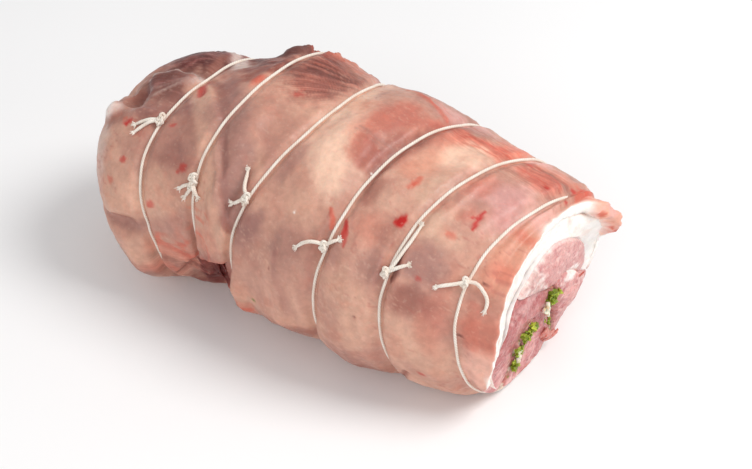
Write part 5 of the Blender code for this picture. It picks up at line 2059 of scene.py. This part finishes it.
def flesh_material():
    """Raw flesh and fat with a moist film, fine mottling and fibres."""
    look = Look("raw flesh")
    tint = look.layer("tint")
    mottle = look.speckle(330, 4, 0.6, 0.32, 0.68, 0.93, 1.06)
    colour = look.mix(1.0, tint, mottle, "MULTIPLY")
    blush = look.span(look.noise(120, 5, 0.62, distortion=0.6), 0.52, 0.72, 0.0, 0.22)
    colour = look.filtered(blush, colour, (250, 214, 206))
    pale = look.speckle(520, 3, 0.5, 0.58, 0.72, 0.0, 0.30)
    colour = look.mix(pale, colour, look.mix(0.35, colour, shade((238, 206, 184))))
    flow = look.stretch(look.layer("flow"), (120.0, 900.0, 1.0))
    fibres = look.layer("fibres", "Fac")
    strand = look.noise(1.0, 4, 0.6, place=flow)
    dark = look.maths("MULTIPLY", look.span(strand, 0.42, 0.60, 1.0, 0.0), fibres)
    colour = look.filtered(look.maths("MULTIPLY", dark, 0.45), colour, (196, 160, 156))
    wet = look.layer("wet", "Fac")
    rough = look.rough(240, 3, 0.40, 0.58)
    rough = look.maths("ADD", rough, look.maths("MULTIPLY", wet, -0.10))
    normal = look.bump(look.noise(700, 4, 0.6), 0.00025, 0.4)
    normal = look.bump(look.noise(230, 3, 0.5), 0.0004, 0.3, normal)
    grain = look.maths("MULTIPLY", strand, fibres)
    normal = look.bump(grain, 0.0008, 0.5, normal)
    return look.finish(
        colour, rough, normal, Subsurface_Weight=0.12, Subsurface_Scale=0.004,
        Subsurface_Radius=(1.0, 0.32, 0.2), Specular_IOR_Level=0.32, Coat_Weight=0.05, Coat_Roughness=0.25,
    )


def fat_material():
    """Firm white fat, a little greasy."""
    look = Look("white fat")
    tint = look.layer("tint")
    mottle = look.speckle(260, 4, 0.6, 0.35, 0.68, 0.94, 1.04)
    colour = look.mix(1.0, tint, mottle, "MULTIPLY")
    flush = look.speckle(140, 4, 0.6, 0.56, 0.74, 0.0, 0.35)
    colour = look.filtered(flush, colour, (252, 226, 214))
    rough = look.rough(300, 3, 0.30, 0.46)
    normal = look.bump(look.noise(520, 4, 0.6), 0.0003, 0.5)
    normal = look.bump(look.cells(300), 0.0003, 0.25, normal)
    return look.finish(
        colour, rough, normal, Subsurface_Weight=0.22, Subsurface_Scale=0.004,
        Subsurface_Radius=(1.0, 0.6, 0.45), Coat_Weight=0.1, Coat_Roughness=0.3,
    )


def lean_material(name, grain):
    """Lean meat cut across its fibres: bundles with fine pale lines between them."""
    look = Look(name)
    tint = look.layer("tint")
    bundles = look.cells(grain)
    warped = look.span(bundles, 0.0, 0.10, 0.28, 0.0)
    fine = look.speckle(grain * 1.6, 5, 0.65, 0.30, 0.70, 0.86, 1.12)
    colour = look.mix(1.0, tint, fine, "MULTIPLY")
    colour = look.mix(warped, colour, look.mix(0.5, colour, shade((240, 208, 200))))
    deep = look.speckle(230, 4, 0.6, 0.54, 0.72, 0.0, 0.5)
    colour = look.filtered(deep, colour, (232, 190, 190))
    rough = look.rough(400, 3, 0.26, 0.44)
    normal = look.bump(bundles, 0.0006, 0.5)
    normal = look.bump(look.noise(900, 4, 0.65), 0.0004, 0.6, normal)
    return look.finish(
        colour, rough, normal, Subsurface_Weight=0.12, Subsurface_Scale=0.003,
        Subsurface_Radius=(1.0, 0.3, 0.2), Specular_IOR_Level=0.4, Coat_Weight=0.08, Coat_Roughness=0.25,
    )


def filling_material():
    """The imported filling: chopped leaves, garlic and meat juice."""
    look = Look("packed filling")
    fine = look.speckle(800, 4, 0.65, 0.3, 0.7, 0.72, 1.2)
    colour = look.mix(1.0, look.layer("tint"), fine, "MULTIPLY")
    normal = look.bump(look.noise(900, 4, 0.6), 0.0006, 0.7)
    rough = look.rough(500, 2, 0.34, 0.6)
    return look.finish(colour, rough, normal)


def parsley_material():
    """Fresh parsley: veined and a little waxy."""
    look = Look("parsley leaf")
    veins = look.span(look.cells(1100), 0.0, 0.06, 0.35, 0.0)
    fine = look.span(look.noise(700, 3), 0.3, 0.7, 0.8, 1.15)
    colour = look.mix(1.0, look.layer("tint"), fine, "MULTIPLY")
    colour = look.mix(veins, colour, shade((150, 166, 70)))
    normal = look.bump(look.cells(1100), 0.0002, 0.5)
    rough = look.rough(500, 2, 0.36, 0.55)
    return look.finish(colour, rough, normal, Subsurface_Weight=0.08, Subsurface_Scale=0.001)


def garlic_material():
    """Chopped garlic, creamy and moist."""
    look = Look("garlic")
    fine = look.span(look.noise(600, 3), 0.3, 0.7, 0.93, 1.04)
    colour = look.mix(1.0, look.layer("tint"), fine, "MULTIPLY")
    normal = look.bump(look.noise(900, 4, 0.6), 0.0002, 0.5)
    rough = look.rough(500, 2, 0.26, 0.42)
    return look.finish(colour, rough, normal, Subsurface_Weight=0.25, Subsurface_Scale=0.002)


def twine_material():
    """White cotton twine, with painted shade between its plies."""
    look = Look("cotton twine")
    shaded_groove = look.layer("shaded_groove", "Fac")
    base = look.mix(look.span(look.noise(160, 3), 0.35, 0.7), shade((246, 240, 230)), shade((238, 224, 210)))
    # Painted shade in the valleys between the plies.
    colour = look.mix(look.span(shaded_groove, 0.25, 1.0, 0.0, 0.55), base, shade((170, 138, 118)))
    fibre = look.noise(2600, 4, 0.7)
    colour = look.mix(look.span(fibre, 0.35, 0.65, 0.0, 0.22), colour, shade((206, 188, 168)))
    stain = look.span(look.noise(60, 3), 0.58, 0.74, 0.0, 0.35)
    colour = look.mix(stain, colour, shade((226, 186, 168)))
    normal = look.bump(fibre, 0.00015, 0.7)
    return look.finish(colour, 0.85, normal, Sheen_Weight=0.25, Sheen_Roughness=0.5)


def floor_material():
    """A plain pale floor."""
    look = Look("pale floor")
    tone = look.span(look.noise(3, 2), 0.3, 0.7, 0.0, 1.0)
    colour = look.mix(tone, shade((244, 244, 245)), shade((247, 247, 248)))
    return look.finish(colour, 0.75)


# Camera, floor and light


def make_camera():
    """The camera, at the photograph's viewing angle."""
    distance = FOCAL_PIXELS / PIXELS_PER_MM
    azimuth = math.radians(AZIMUTH)
    elevation = math.radians(ELEVATION)
    back = Vector((
        math.sin(azimuth) * math.cos(elevation),
        -math.cos(azimuth) * math.cos(elevation),
        math.sin(elevation),
    ))
    target = Vector(LOOK_AT) - Vector((CENTRE_X, CENTRE_Y, 0))
    data = bpy.data.cameras.new("camera")
    data.sensor_fit = "HORIZONTAL"
    data.sensor_width = SENSOR_WIDTH
    data.lens = FOCAL_PIXELS / IMAGE_WIDTH * SENSOR_WIDTH
    data.clip_start = 0.01
    data.clip_end = 20
    camera = bpy.data.objects.new("camera", data)
    camera.location = (target + back * distance) * MM
    camera.rotation_euler = back.to_track_quat("Z", "Y").to_euler()
    bpy.context.scene.collection.objects.link(camera)
    bpy.context.scene.camera = camera


def make_floor():
    """A plain pale floor under the roast."""
    mesh = bpy.data.meshes.new("floor")
    corners = [(x * FLOOR_HALF, y * FLOOR_HALF, 0) for x, y in ((-1, -1), (1, -1), (1, 1), (-1, 1))]
    mesh.from_pydata(corners, [], [(0, 1, 2, 3)])
    floor = bpy.data.objects.new("floor", mesh)
    floor.data.materials.append(floor_material())
    bpy.context.scene.collection.objects.link(floor)


def area_light(name, place, aim, size, power, colour):
    """A soft light that looks at a point."""
    data = bpy.data.lights.new(name, "AREA")
    data.shape = "DISK"
    data.size = size
    data.energy = power
    data.color = colour
    light = bpy.data.objects.new(name, data)
    light.location = place
    light.rotation_euler = (Vector(place) - Vector(aim)).to_track_quat("Z", "Y").to_euler()
    bpy.context.scene.collection.objects.link(light)


def make_lights():
    """Soft studio light, strongest from above on the cut's side."""
    world = bpy.data.worlds.new("studio")
    world.use_nodes = True
    back = world.node_tree.nodes["Background"]
    back.inputs["Color"].default_value = (1.0, 1.0, 1.0, 1)
    back.inputs["Strength"].default_value = BACKGROUND_LIGHT
    bpy.context.scene.world = world
    for light in LIGHTS:
        area_light(*light)


def set_view():
    """Plain colours, as they are painted."""
    bpy.context.scene.view_settings.view_transform = "Standard"
    bpy.context.scene.view_settings.look = "None"


def main():
    """Make the camera, the floor, the light and every piece."""
    chance = random.Random(SEED)
    set_view()
    make_camera()
    make_floor()
    make_lights()
    make_body(flesh_material())
    make_fat(fat_material())
    lean = lean_material("lean", 420)
    make_lean(lean_material("pale lean", 520), lean, filling_material())
    make_shreds(lean)
    leaf = parsley_material()
    garlic = garlic_material()
    make_parsley("parsley_1", LEAVES_1, "herb_filling_1", leaf, chance)
    make_parsley("parsley_2", LEAVES_2, "herb_filling_2", leaf, chance)
    make_garlic("garlic_1", GARLIC_1, "herb_filling_1", garlic, chance)
    make_garlic("garlic_2", GARLIC_2, "herb_filling_2", garlic, chance)
    twine = twine_material()
    for number in range(len(LOOPS)):
        make_twine(number, twine, chance)


main()
